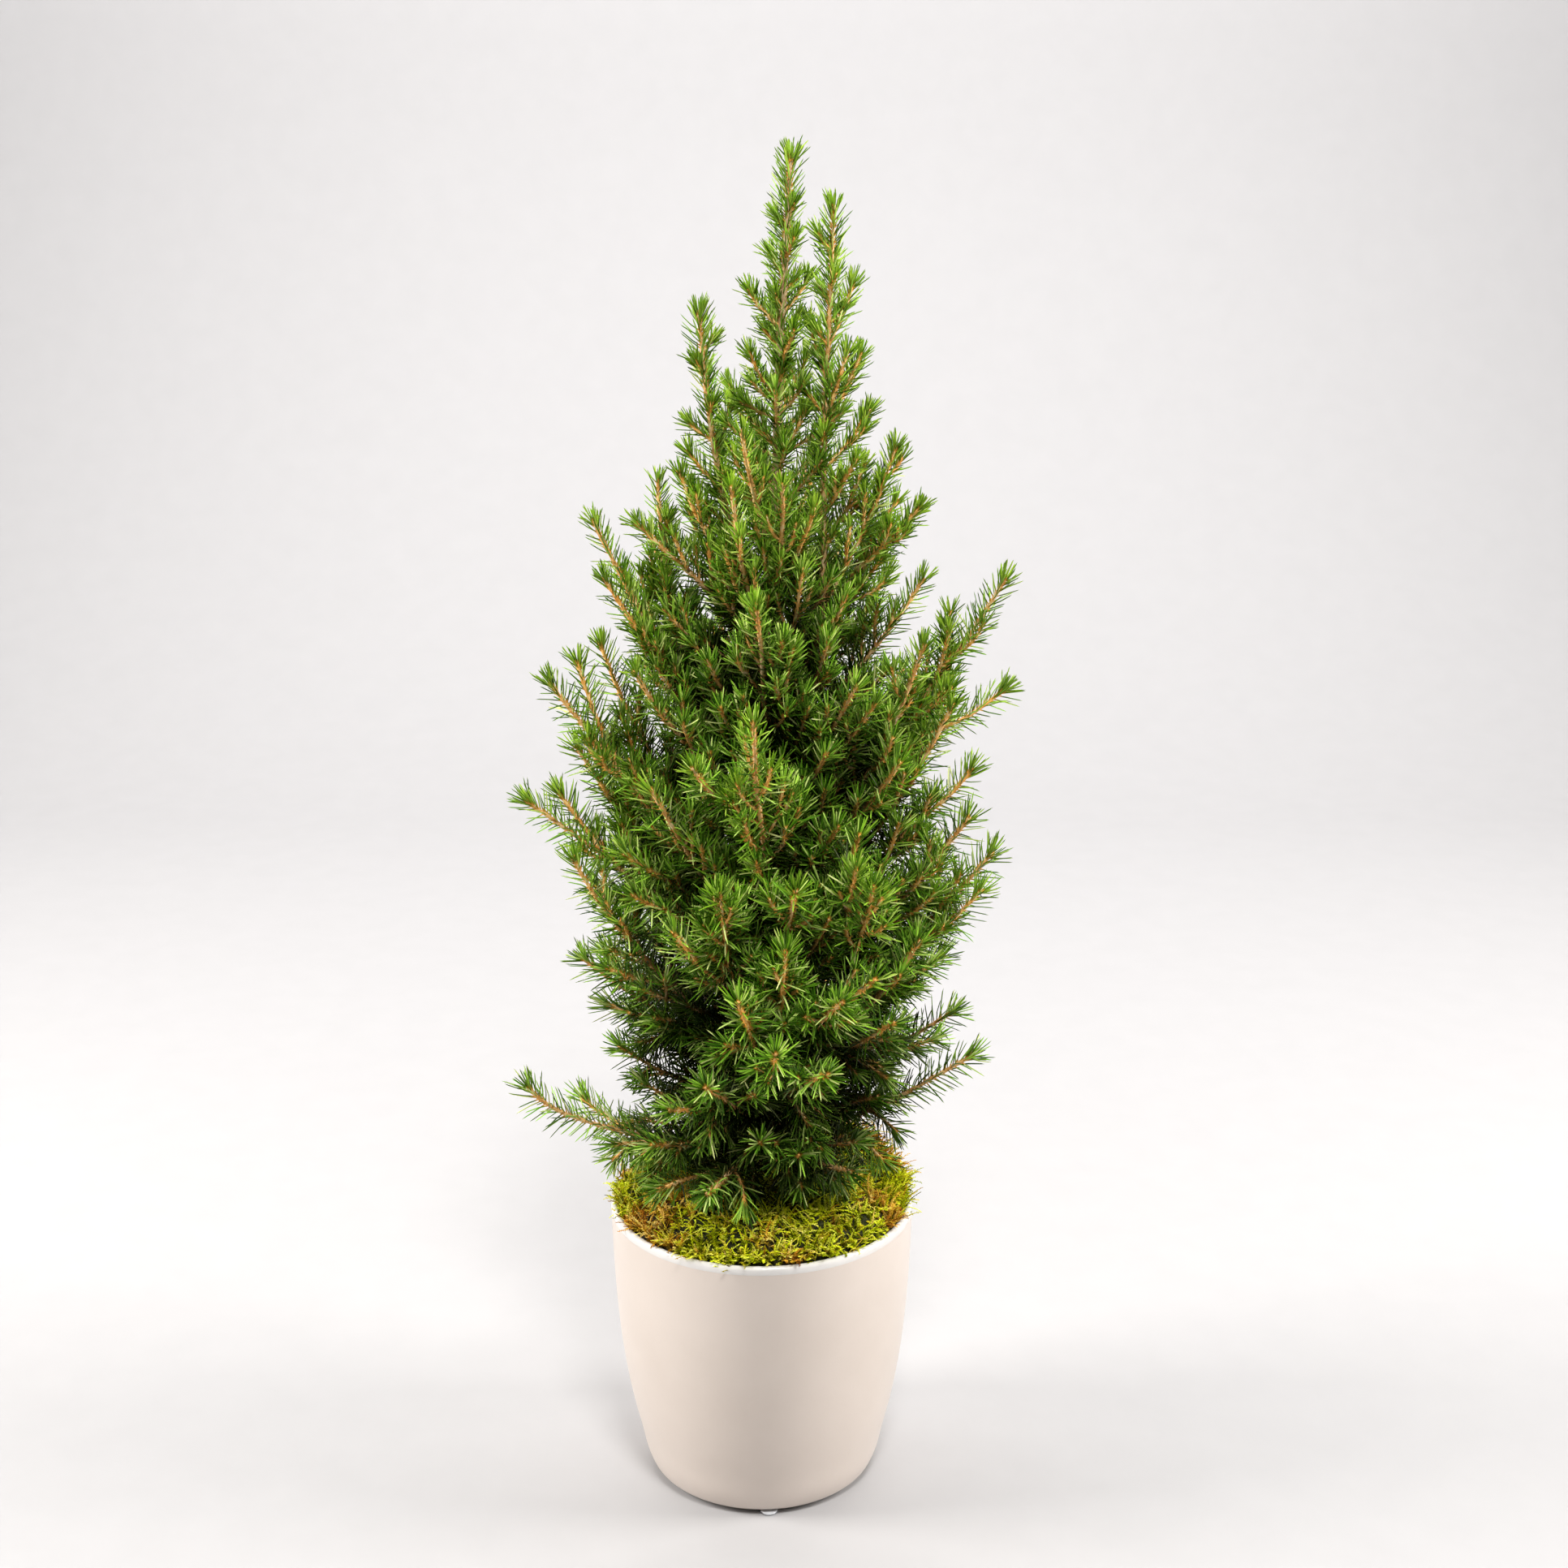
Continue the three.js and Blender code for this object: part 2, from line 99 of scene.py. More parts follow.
# the limbs of each side, numbered from 1. Each has its height on the trunk, its bow,
# and its tips as (azimuth, reach, height, where along the limb it forks)
LIMBS = {
    "left": [
        (440, 0.42, [(160, 68, 596)]),
        (504, 0.0, [(186, 77, 577)]),
        (424, 0.06, [(181, 99, 578), (196, 95, 550, 0.22)]),
        (352, 0.05, [(184, 124, 489), (180, 108, 499, 0.7), (171, 98, 506, 0.25)]),
        (403, 0.08, [(209, 86, 503)]),
        (322, 0.08, [(173, 112, 446)]),
        (297, -0.08, [(183, 138, 419), (179, 121, 422, 0.74)]),
        (335, 0.1, [(226, 92, 444)]),
        (262, 0.12, [(196, 114, 395)]),
        (240, 0.0, [(181, 108, 324), (171, 98, 289, 0.35)]),
        (207, 0.32, [(189, 141, 254), (170, 114, 229, 0.3)]),
        (212, 0.05, [(207, 101, 228)]),
    ],
    "front": [
        (553, 0.1, [(248, 48, 632)]),
        (497, 0.15, [(248, 60, 604)]),
        (520, 0.06, [(274, 60, 606), (293, 54, 592, 0.2)]),
        (437, 0.12, [(263, 71, 545), (280, 60, 520, 0.25)]),
        (425, 0.1, [(306, 76, 500)]),
        (342, 0.12, [(266, 120, 495)]),
        (392, 0.04, [(246, 103, 463), (256, 98, 448, 0.5)]),
        (283, 0.12, [(254, 104, 396), (240, 104, 372, 0.4)]),
        (316, 0.05, [(277, 112, 402)]),
        (252, 0.15, [(275, 92, 362), (262, 115, 342, 0.3)]),
        (328, 0.1, [(301, 86, 400), (312, 94, 388, 0.35), (303, 88, 421, 0.3)]),
        (262, 0.0, [(289, 120, 341), (299, 118, 350, 0.5)]),
        (228, 0.0, [(272, 121, 315), (286, 118, 300, 0.3)]),
        (222, 0.0, [(253, 115, 291), (238, 104, 268, 0.4)]),
        (210, -0.05, [(251, 104, 222), (230, 98, 213, 0.25)]),
        (209, 0.0, [(300, 93, 227), (281, 88, 240, 0.35)]),
    ],
    "right": [
        (505, 0.0, [(10, 80, 579), (18, 72, 585, 0.5)]),
        (441, 0.05, [(14, 87, 541)]),
        (390, 0.08, [(358, 128, 546), (5, 133, 480, 0.35)]),
        (376, 0.16, [(336, 90, 517), (324, 86, 455, 0.3)]),
        (338, 0.12, [(349, 102, 479), (356, 113, 439, 0.35)]),
        (294, 0.08, [(348, 114, 416), (338, 78, 414, 0.3)]),
        (264, 0.06, [(1, 128, 387), (354, 121, 369, 0.3)]),
        (245, 0.08, [(329, 98, 353), (315, 98, 312, 0.3)]),
        (226, 0.0, [(6, 110, 286)]),
        (206, 0.05, [(355, 120, 268)]),
    ],
    "back": [
        (540, 0.08, [(98, 50, 616), (60, 44, 598, 0.2)]),
        (492, 0.1, [(142, 62, 578), (118, 58, 560, 0.3)]),
        (456, 0.1, [(62, 80, 552), (38, 84, 540, 0.3)]),
        (412, 0.1, [(112, 94, 520), (90, 92, 500, 0.3), (138, 88, 492, 0.35)]),
        (368, 0.08, [(48, 116, 474), (28, 118, 462, 0.3), (66, 108, 452, 0.35)]),
        (328, 0.1, [(118, 118, 438), (146, 118, 420, 0.3), (94, 116, 412, 0.35)]),
        (284, 0.06, [(60, 124, 376), (34, 122, 366, 0.3), (84, 120, 352, 0.35)]),
        (246, 0.04, [(128, 120, 328), (152, 116, 308, 0.3), (104, 118, 304, 0.35)]),
        (216, 0.04, [(72, 118, 272), (44, 116, 250, 0.3), (100, 112, 246, 0.35)]),
    ],
}

# single shoots that fill the crown between the limbs: the piece they grow on, then each one's foot and tip
SPRIGS = {
    "trunk": [
        ((8, 0, 600), (24, -12, 636)), ((0, -2, 229), (-80, -24, 278)), ((0, -6, 221), (-66, -40, 262)),
        ((-2, -7, 214), (-60, -68, 238)), ((8, 0, 246), (100, -10, 277)), ((4, -6, 214), (0, -82, 246)),
        ((6, -6, 210), (28, -78, 246)), ((2, -6, 224), (3, -62, 276)), ((8, -5, 210), (53, -60, 236)),
        ((-2, -4, 236), (-34, -66, 262)), ((8, -2, 226), (66, -34, 252)), ((6, -6, 236), (34, -66, 268)),
        ((8, -4, 430), (26, -50, 483)), ((8, -4, 400), (36, -52, 459)), ((8, -4, 378), (22, -56, 436)),
        ((10, -3, 360), (42, -60, 420)), ((6, -4, 446), (-28, -42, 507)), ((4, -4, 422), (-21, -46, 482)),
        ((2, -3, 328), (-69, -50, 378)), ((2, -3, 346), (-74, -45, 400)), ((4, -4, 480), (-52, -20, 530)),
    ],
    "leader_right": [((36, -12, 566), (56, -20, 609))],
    "limb_right_01": [((52, 0, 548), (86, -14, 585))],
    "leader_left": [((-22, -4, 556), (-43, -10, 603))],
    "limb_right_07": [((30, 0, 284), (103, -8, 327))],
    "trunk_more": [
        ((8, -4, 440), (37, -46, 520)), ((9, -4, 462), (46, -36, 541)), ((6, -5, 452), (12, -60, 521)),
        ((4, -5, 470), (-4, -50, 538)), ((8, -3, 412), (62, -50, 486)), ((8, -3, 300), (37, -78, 374)),
        ((9, -6, 470), (23, -44, 557)), ((6, 5, 226), (22, 80, 262)), ((2, 5, 214), (-28, 74, 238)),
        ((7, 4, 246), (52, 66, 292)), ((3, 5, 262), (-12, 82, 312)), ((4, 5, 238), (-46, 60, 282)),
        ((6, 5, 212), (44, 66, 232)),
    ],
    "limb_front_08": [((-15, -60, 332), (-20, -102, 396))],
    "limb_front_10": [((10, -62, 297), (14, -104, 365))],
    "limb_front_11": [((50, -56, 342), (60, -92, 397)), ((44, -56, 355), (51, -94, 407))],
}
# how far from its tip a shoot of this limb carries no side twigs
LONE_ELSEWHERE = 34.0
LONE = {
    "limb_left_11": 72, "limb_right_10": 62, "limb_right_09": 52, "limb_left_04": 48, "limb_left_07": 50,
    "limb_right_03": 46, "limb_left_03": 44, "limb_left_10": 40,
}


# ---- small maths
LOOK = 1.5  # mm ahead and behind that give the direction at a point of a path


def unit(v):
    """Each vector of v with length 1."""
    n = np.linalg.norm(v, axis=-1, keepdims=True)
    return v / np.maximum(n, 1e-9)


def smooth(x):
    """An S curve from 0 to 1 over that range of x."""
    x = np.clip(x, 0.0, 1.0)
    return x * x * (3 - 2 * x)


def trunk_at(z):
    """The trunk's x, y and radius at a height."""
    t = np.array(TRUNK, float)
    return np.array([np.interp(z, t[:, 0], t[:, i]) for i in (1, 2, 3)])


def polar(centre, azimuth, reach, height):
    """The point at an azimuth in degrees and a reach from a centre."""
    a = math.radians(azimuth)
    return np.array([centre[0] + reach * math.cos(a), centre[1] + reach * math.sin(a), height])


def bezier(foot, tip, bow, n=33):
    """A curve from foot to tip that leaves sideways first and then rises, more so with a larger bow."""
    w = np.array([0.5 + bow, 0.5 + bow, 0.5 - bow])
    mid = foot + (tip - foot) * w
    t = np.linspace(0, 1, n)[:, None]
    return (1 - t) ** 2 * foot + 2 * t * (1 - t) * mid + t * t * tip


def spline(points, n):
    """A smooth curve through the points, evenly sampled by Catmull-Rom."""
    p = np.array(points, float)
    p = np.vstack([2 * p[0] - p[1], p, 2 * p[-1] - p[-2]])
    out = []
    for i in range(1, len(p) - 2):
        for t in np.linspace(0, 1, n // (len(p) - 3), endpoint=False):
            a, b, c, d = p[i - 1], p[i], p[i + 1], p[i + 2]
            square, cube = 2 * a - 5 * b + 4 * c - d, 3 * b - a - 3 * c + d
            out.append(0.5 * (2 * b + (c - a) * t + square * t * t + cube * t**3))
    out.append(p[-2])
    return np.array(out)


def lengths(p):
    """The distance along the polyline p at each of its points."""
    return np.concatenate([[0.0], np.cumsum(np.linalg.norm(np.diff(p, axis=0), axis=1))])


def sample(s, at, points):
    """Points at the places s, between points that are known at the places at."""
    return np.stack([np.interp(s, at, points[:, k]) for k in range(3)], -1)


def along(p, s):
    """Points and unit directions at the distances s along the polyline p."""
    d = lengths(p)
    s = np.asarray(s, float)
    ahead, behind = np.minimum(s + LOOK, d[-1]), np.maximum(s - LOOK, 0)
    return sample(s, d, p), unit(sample(ahead, d, p) - sample(behind, d, p))


def turns(n):
    """n angles evenly round a circle."""
    return np.linspace(0, 2 * math.pi, n, endpoint=False)


def circle(x, y, r, n):
    """n points evenly round a circle."""
    return [(x + r * math.cos(t), y + r * math.sin(t)) for t in turns(n)]


def across(d, ref):
    """Two unit directions square to each direction in d, the first as near ref as it can be."""
    ref = np.tile(np.array(ref), (len(d), 1))
    u = unit(ref - d * np.sum(ref * d, axis=1, keepdims=True))
    return u, np.cross(d, u)


def rings(centres, radii, u, w):
    """Rings of points round the centres, in the planes of u and w."""
    a = turns(radii.shape[1])
    round_it = np.cos(a)[None, :, None] * u[:, None] + np.sin(a)[None, :, None] * w[:, None]
    return (centres[:, None] + radii[..., None] * round_it).reshape(-1, 3)


# ---- mesh collector
class Bag:
    """Collects triangles, their material and a four-number vertex tag, then makes one mesh object."""

    def __init__(self):
        self.v, self.t, self.m, self.tag, self.n = [], [], [], [], 0

    def put(self, verts, tris, mat, tag):
        verts = np.asarray(verts, np.float64).reshape(-1, 3)
        tris = np.asarray(tris, np.int64).reshape(-1, 3)
        tag = np.broadcast_to(np.asarray(tag, np.float64), (len(verts), 4))
        self.v.append(verts)
        self.t.append(tris + self.n)
        self.m.append(np.full(len(tris), mat))
        self.tag.append(tag)
        self.n += len(verts)

    def make(self, name, materials, flat=-1):
        v = np.concatenate(self.v) * MM
        t = np.concatenate(self.t)
        me = bpy.data.meshes.new(name)
        me.vertices.add(len(v))
        me.vertices.foreach_set("co", v.astype(np.float32).ravel())
        me.loops.add(3 * len(t))
        me.loops.foreach_set("vertex_index", t.astype(np.int32).ravel())
        me.polygons.add(len(t))
        me.polygons.foreach_set("loop_start", np.arange(0, 3 * len(t), 3, dtype=np.int32))
        me.polygons.foreach_set("material_index", np.concatenate(self.m).astype(np.int32))
        me.update(calc_edges=True)
        me.polygons.foreach_set("use_smooth", np.concatenate(self.m) != flat)
        tag = me.attributes.new("tag", "FLOAT_COLOR", "POINT")
        tag.data.foreach_set("color", np.concatenate(self.tag).astype(np.float32).ravel())
        for m in materials:
            me.materials.append(m)
        ob = bpy.data.objects.new(name, me)
        bpy.context.scene.collection.objects.link(ob)
        return ob


def quads(a, b, c, d):
    """Two triangles for each four vertices, given as four arrays of indices."""
    return np.concatenate([np.stack(q, -1).reshape(-1, 3) for q in ([a, b, c], [a, c, d])])


def ring_tris(rings, sides):
    """Triangles of a closed tube of rings, with a centre vertex for each end placed after the rings."""
    i, k = np.meshgrid(np.arange(rings - 1), np.arange(sides), indexing="ij")
    a, b = i * sides + k, i * sides + (k + 1) % sides
    t = quads(a, b, b + sides, a + sides)
    k = np.arange(sides)
    centre = np.full(sides, rings * sides)
    start = np.stack([centre, (k + 1) % sides, k], -1)
    base = (rings - 1) * sides
    end = np.stack([centre + 1, base + k, base + (k + 1) % sides], -1)
    return np.concatenate([t, start, end])


def tube(bag, path, radius, sides, tag, rng, rough, step):
    """A round stem of bark along a path. radius takes the share of the length from the foot."""
    total = lengths(path)[-1]
    n = max(4, int(total / step) + 1)
    share = np.linspace(0, 1, n)
    pos, d = along(path, share * total)
    r = np.array([radius(s) for s in share])[:, None] * (1 + rough * rng.uniform(-1, 1, (n, sides)))
    ring = rings(pos, r, *across(d, [1.0, 0.3, 0.1]))
    verts = np.concatenate([ring, pos[:1], pos[-1:] + d[-1:] * r[-1, 0]])
    tags = np.tile(np.array(tag, float), (len(verts), 1))
    # painted shade: the bark's tag for how deep inside the crown it lies, which darkens it
    tags[:, 2] = painted_shade_depth(verts)
    bag.put(verts, ring_tris(n, sides), BARK, tags)


BARK, NEEDLE, BUD = 0, 1, 2  # material slots of a piece that grows
# height and radius of the crown
CROWN = [
    (190, 98), (230, 108), (270, 120), (340, 116), (420, 110), (500, 92), (600, 58), (700, 30), (770, 16),
]
TRUNK_AXIS = np.array([8.0, 0.0, 0.0])


def painted_shade_depth(points):
    """How far inside the crown each point is, 0 at its outside and 1 at the trunk, fading out high on the
    tree and with a little more added low down: the depth of the painted shade that darkens needles and
    bark.
    """
    c = np.array(CROWN, float)
    edge = np.interp(points[:, 2], c[:, 0], c[:, 1])
    share = np.hypot(points[:, 0] - TRUNK_AXIS[0], points[:, 1]) / edge
    deep = np.clip(1.75 * (1 - share), 0, 1) * (1 - smooth((points[:, 2] - 500) / 120.0))
    return deep + 0.12 * smooth((330 - points[:, 2]) / 90.0)


TRUNK_SEED, LIMB_SEED, MOSS_SEED = 11, 100, 700
GOLDEN = 2.399963  # radians between two needles that follow each other round a stem
NEEDLE_LONG, NEEDLE_LONGER_LOW = 11.6, 4.2  # mm, and what is added low on the tree
NEEDLE_WIDE, NEEDLE_WIDER_LOW = 0.47, 0.02  # mm, half the width
PART = 0.55  # how much the needles part on the side that faces out of the crown
TUFT_END = 2.5  # mm of a stem's length that the needles of its tuft take up
LEADER_END = 14.0  # mm at the end of a leader without side tufts
# a needle has three rings of three points and a tip
NEEDLE_TRIS = np.concatenate([
    *[[(p, r, r + 3), (p, r + 3, p + 3)] for p, r in ((0, 1), (1, 2), (2, 0), (3, 4), (4, 5), (5, 3))],
    [(6, 7, 9), (7, 8, 9), (8, 6, 9), (2, 1, 0)],
])


def needles(bag, path, start, stem_r, rng, density, scale=1.0, shade=0.0, tuft=16):
    """Curved needles round a shoot from the distance start to its tip, closing into a tuft at the end."""
    total = lengths(path)[-1]
    count = max(1, int((total - start) * density * 1.22))
    s = start + (total - start) * (np.arange(count) + rng.uniform(0, 1, count)) / count
    s = np.concatenate([s, total - 5.0 * rng.uniform(0, 1, tuft) ** 1.5])
    n = len(s)
    pos, d = along(path, s)
    to_tip = total - s
    low = smooth((620 - pos[:, 2]) / 260.0)
    u, w = across(d, [0.9, 0.35, 0.2])
    a = GOLDEN * np.arange(n) + rng.uniform(-0.5, 0.5, n)
    outward = unit((pos - TRUNK_AXIS) * (1, 1, 0) + 1e-6)
    eu, ew = np.sum(outward * u, axis=1), np.sum(outward * w, axis=1)
    a += PART * np.hypot(eu, ew) * np.sin(a - np.arctan2(ew, eu))
    out = np.cos(a)[:, None] * u + np.sin(a)[:, None] * w
    side_angle = 50 + 12 * low
    tip_angle = 12 + 8 * low + 32 * rng.uniform(0, 1, n)
    opening = smooth(to_tip / (13.0 + 5 * low))
    spread = np.radians(tip_angle + (side_angle - tip_angle) * opening + rng.normal(0, 7.5, n))
    d0 = unit(np.cos(spread)[:, None] * d + np.sin(spread)[:, None] * out)
    bend = rng.uniform(0.05, 0.55, n)[:, None]
    lift = rng.uniform(-0.30, 0.30, n) + 0.08 - 0.46 * low * smooth(to_tip / 14.0)
    d1 = unit(d0 + bend * d + UP * lift[:, None])
    long = (NEEDLE_LONG + NEEDLE_LONGER_LOW * low) * scale * rng.uniform(0.78, 1.12, n)
    long *= (0.86 + 0.14 * smooth(to_tip / 8.0)) * (0.8 + 0.2 * smooth((s - start) / 12.0))
    wide = (NEEDLE_WIDE + NEEDLE_WIDER_LOW * low) * rng.uniform(0.85, 1.15, n)
    base = pos + out * (stem_r * 0.75)
    side = unit(np.cross(d0, out) + 1e-6)
    face = np.cross(side, d0)
    twist = rng.uniform(-0.9, 0.9, n)[:, None]
    cos, sin = np.cos(twist), np.sin(twist)
    side, face = cos * side + sin * face, cos * face - sin * side
    verts = np.zeros((n, 10, 3))
    tags = np.zeros((n, 10, 4))
    for j, (at, k) in enumerate([(0.0, 1.05), (0.40, 1.0), (0.86, 0.78)]):
        c = base + unit(d0 * (1 - at * 0.5) + d1 * at * 0.5) * (long * at)[:, None]
        for q in range(3):
            ang = math.pi / 2 + 2 * math.pi * q / 3
            sideways, deep = math.cos(ang) * wide * k, math.sin(ang) * 0.8 * wide * k
            verts[:, 3 * j + q] = c + side * sideways[:, None] + face * deep[:, None]
        tags[:, 3 * j : 3 * j + 3, 2] = at
    verts[:, 9] = base + unit(d0 * 0.5 + d1 * 0.5) * long[:, None]
    tags[:, 9, 2] = 1.0
    # how young the needle is, less so low on the tree; below 0, how much painted shade darkens it inside
    # the crown and on shaded low shoots
    young = (1 - smooth(to_tip / 24.0)) * (1 - shade) * (1 - 0.55 * smooth((430 - pos[:, 2]) / 150.0))
    tags[:, :, 0] = (young - 1.2 * painted_shade_depth(verts[:, 6]) - 0.55 * shade)[:, None]
    tags[:, :, 1] = rng.uniform(0, 1, n)[:, None]
    # the ridge that carries the pale band and painted highlight of each needle
    tags[:, [0, 3, 6], 3] = 1.0
    tris = NEEDLE_TRIS + 10 * np.arange(n)[:, None, None]
    bag.put(verts, tris, NEEDLE, tags.reshape(-1, 4))


def bud(bag, place, direction, size, rng):
    """A small brown bud with its scales."""
    rows = np.array([(0.0, 0.35), (0.25, 0.85), (0.5, 1.0), (0.75, 0.75), (1.0, 0.2)])
    u = unit(np.cross(direction, UP + 0.01))
    w = np.cross(direction, u)
    r = rows[:, 1:2] * 0.5 * size * rng.uniform(0.8, 1.2, (5, 7))
    c = place + direction * (rows[:, 0:1] * size * 1.5)
    verts = np.concatenate([rings(c, r, u[None], w[None]), c[:1], c[-1:] + direction * 0.2 * size])
    bag.put(verts, ring_tris(5, 7), BUD, (0, rng.uniform(), 0, 0))


def shoot(bag, path, r0, r1, bare, rng, density, scale=1.0, age=0.0, shade=0.0, tuft=18):
    """One stem with its needles. bare is the length at its foot that has lost its needles."""
    # painted shade: some low shoots get a random extra darkening of their needles
    shade = shade + 0.65 * rng.uniform() ** 2 * float(smooth((360 - path[-1][2]) / 120.0))
    tag = (age, rng.uniform(), 0, shade)
    tube(bag, path, lambda t: r0 + (r1 - r0) * t**0.8, 6, tag, rng, rough=0.26, step=2.2)
    needles(bag, path, min(bare, lengths(path)[-1] * 0.8), r1, rng, density, scale, shade, tuft)


def wavy(path, rng, size):
    """A path with a slight natural wander that leaves both ends in place."""
    t = np.linspace(0, 1, len(path))[:, None]
    ph = rng.uniform(0, 6.28, 6)
    k = np.sin(math.pi * t)
    waves = [np.sin(5.0 * t + ph[i]) + 0.5 * np.sin(11 * t + ph[i + 3]) for i in range(3)]
    off = np.concatenate(waves, 1)
    return path + k * off * size


def laterals(bag, path, rng, first=0.10, last=LONE_ELSEWHERE, gap=9.5, most=46.0, depth=0):
    """Side twigs along a shoot, mostly in its own flat spray, each turning towards the shoot's tip."""
    total = lengths(path)[-1]
    s, side = total * first + rng.uniform(0, 6), rng.integers(0, 2)
    while s < total - last:
        pos, d = along(path, [s])
        pos, d = pos[0], d[0]
        flat = unit(np.cross(d, UP))
        lift = np.cross(flat, d)
        a = (0 if side else math.pi) + rng.uniform(-0.9, 0.9)
        if rng.uniform() < 0.3:
            a = rng.uniform(0, 2 * math.pi)
        out = math.cos(a) * flat + math.sin(a) * lift
        size = min(most, 8 + 0.34 * (total - s)) * rng.uniform(0.65, 1.15)
        spread = math.radians(rng.uniform(32, 56))
        d0 = math.cos(spread) * d + math.sin(spread) * out
        rise = rng.uniform(-0.1, 0.3) + 0.42 * float(smooth((pos[2] - 270) / 160.0))
        rise -= 0.62 * float(smooth((330 - pos[2]) / 90.0))
        tip = pos + unit(d0 + 0.25 * d + rise * UP) * size
        if math.hypot(tip[0], tip[1]) < MOSS_R + 8:
            tip[2] = max(tip[2], POT_TOP + 24)  # clear of the moss
        mid = pos + d0 * size * 0.5
        t = np.linspace(0, 1, 15)[:, None]
        twig = (1 - t) ** 2 * pos + 2 * t * (1 - t) * mid + t * t * tip
        shoot(bag, twig, 0.95, 0.72, 2.5, rng, density=1.2, scale=0.97, age=0.1, tuft=12)
        if rng.uniform() < 0.35:
            bud(bag, pos + out * 0.8, unit(out + d), rng.uniform(1.6, 2.6), rng)
        if size > 30 and depth == 0:
            laterals(bag, twig, rng, first=0.3, last=14.0, gap=13.0, most=20.0, depth=1)
        s += gap * rng.uniform(0.7, 1.3) * (1 + 0.30 * float(smooth((300 - pos[2]) / 60.0)))
        side = 1 - side


def grown(bag, name):
    """The piece of a bag that holds stems, needles and buds."""
    return bag.make(name, [MAT["bark"], MAT["needle"], MAT["bud"]], NEEDLE)


def trimmed(path):
    """The path without the end that the needles of its tuft take up."""
    total = lengths(path)[-1]
    return along(path, np.linspace(0, total - TUFT_END, len(path)))[0]


def sprigs(bag, host, rng):
    """The single shoots that grow on the piece host, each with short side twigs."""
    for foot, tip in SPRIGS.get(host, []):
        path = wavy(bezier(np.array(foot, float), np.array(tip, float), 0.07, 25), rng, 0.6)
        shoot(bag, path, 1.2, 0.8, 5.0, rng, density=1.35, age=0.1)
        laterals(bag, path, rng, first=0.15, last=20.0, gap=10.0, most=26.0, depth=1)


def limb(name, height, bow, tips, seed):
    """A bough: its main shoot, its forks, their side twigs and the single shoots that grow on it."""
    rng = np.random.default_rng(seed)
    bag = Bag()
    centre = trunk_at(height)
    foot = polar(centre, tips[0][0], centre[2] + 0.6, height)
    main = None
    for azimuth, reach, top, *fork in tips:
        tip = polar(centre, azimuth, reach, top)
        if main is None:
            path = main = bezier(foot, tip, bow)
            r0, bare, age = 1.8, 14.0, 0.35
        else:
            path = bezier(main[int(fork[0] * (len(main) - 1))], tip, bow)
            r0, bare, age = 1.15, 3.0, 0.05
        path = wavy(trimmed(path), rng, 0.9)
        shoot(bag, path, r0, 1.0, bare, rng, density=1.3, age=age)
        laterals(bag, path, rng, last=LONE.get(name, LONE_ELSEWHERE))
    sprigs(bag, name, rng)
    return grown(bag, name.replace("limb", "bough"))


# ---- materials
class Nodes:
    """A short way to write a material's node tree."""

    def __init__(self, name):
        self.mat = bpy.data.materials.new(name)
        self.mat.use_nodes = True
        self.tree = self.mat.node_tree
        self.tree.nodes.clear()
        self.bsdf = self.node("ShaderNodeBsdfPrincipled")
        self.node("ShaderNodeOutputMaterial", {"Surface": self.bsdf.outputs[0]})

    def put(self, target, value):
        if isinstance(value, bpy.types.NodeSocket):
            self.tree.links.new(value, target)
        else:
            target.default_value = value

    def node(self, kind, inputs=None, **props):
        n = self.tree.nodes.new(kind)
        for k, v in props.items():
            setattr(n, k, v)
        for k, v in (inputs or {}).items():
            self.put(n.inputs[k], v)
        return n

    def noise(self, scale, detail=3.0, rough=0.5):
        place = self.node("ShaderNodeTexCoord").outputs["Object"]
        inputs = {"Vector": place, "Scale": scale, "Detail": detail, "Roughness": rough}
        return self.node("ShaderNodeTexNoise", inputs).outputs["Fac"]

    def ramp(self, fac, stops):
        n = self.node("ShaderNodeValToRGB", {"Fac": fac})
        el = n.color_ramp.elements
        while len(el) < len(stops):
            el.new(0.5)
        for e, (p, c) in zip(el, stops):
            e.position, e.color = p, (*c, 1.0)
        return n.outputs["Color"]

    def mix(self, fac, a, b):
        a, b = [(*c, 1.0) if isinstance(c, tuple) else c for c in (a, b)]
        n = self.node("ShaderNodeMix", {"Factor": fac, "A": a, "B": b}, data_type="RGBA")
        return n.outputs["Result"]

    def math(self, op, a, b, clamp=False):
        return self.node("ShaderNodeMath", {0: a, 1: b}, operation=op, use_clamp=clamp).outputs[0]

    def times(self, a, b, clamp=False):
        return self.math("MULTIPLY", a, b, clamp)

    def fade(self, start, slope, at):
        """start where at is 0, falling by slope with it, and never below 0."""
        return self.math("SUBTRACT", start, self.times(at, slope), clamp=True)

    def bump(self, height, strength, distance):
        inputs = {"Height": height, "Strength": strength, "Distance": distance}
        return self.node("ShaderNodeBump", inputs).outputs[0]

    def shade(self, **inputs):
        for k, v in inputs.items():
            self.put(self.bsdf.inputs[k.replace("_", " ")], v)
        return self.mat

    def tag(self):
        a = self.node("ShaderNodeAttribute", attribute_name="tag")
        s = self.node("ShaderNodeSeparateColor", {"Color": a.outputs["Color"]})
        return s.outputs[0], s.outputs[1], s.outputs[2], a.outputs["Alpha"]


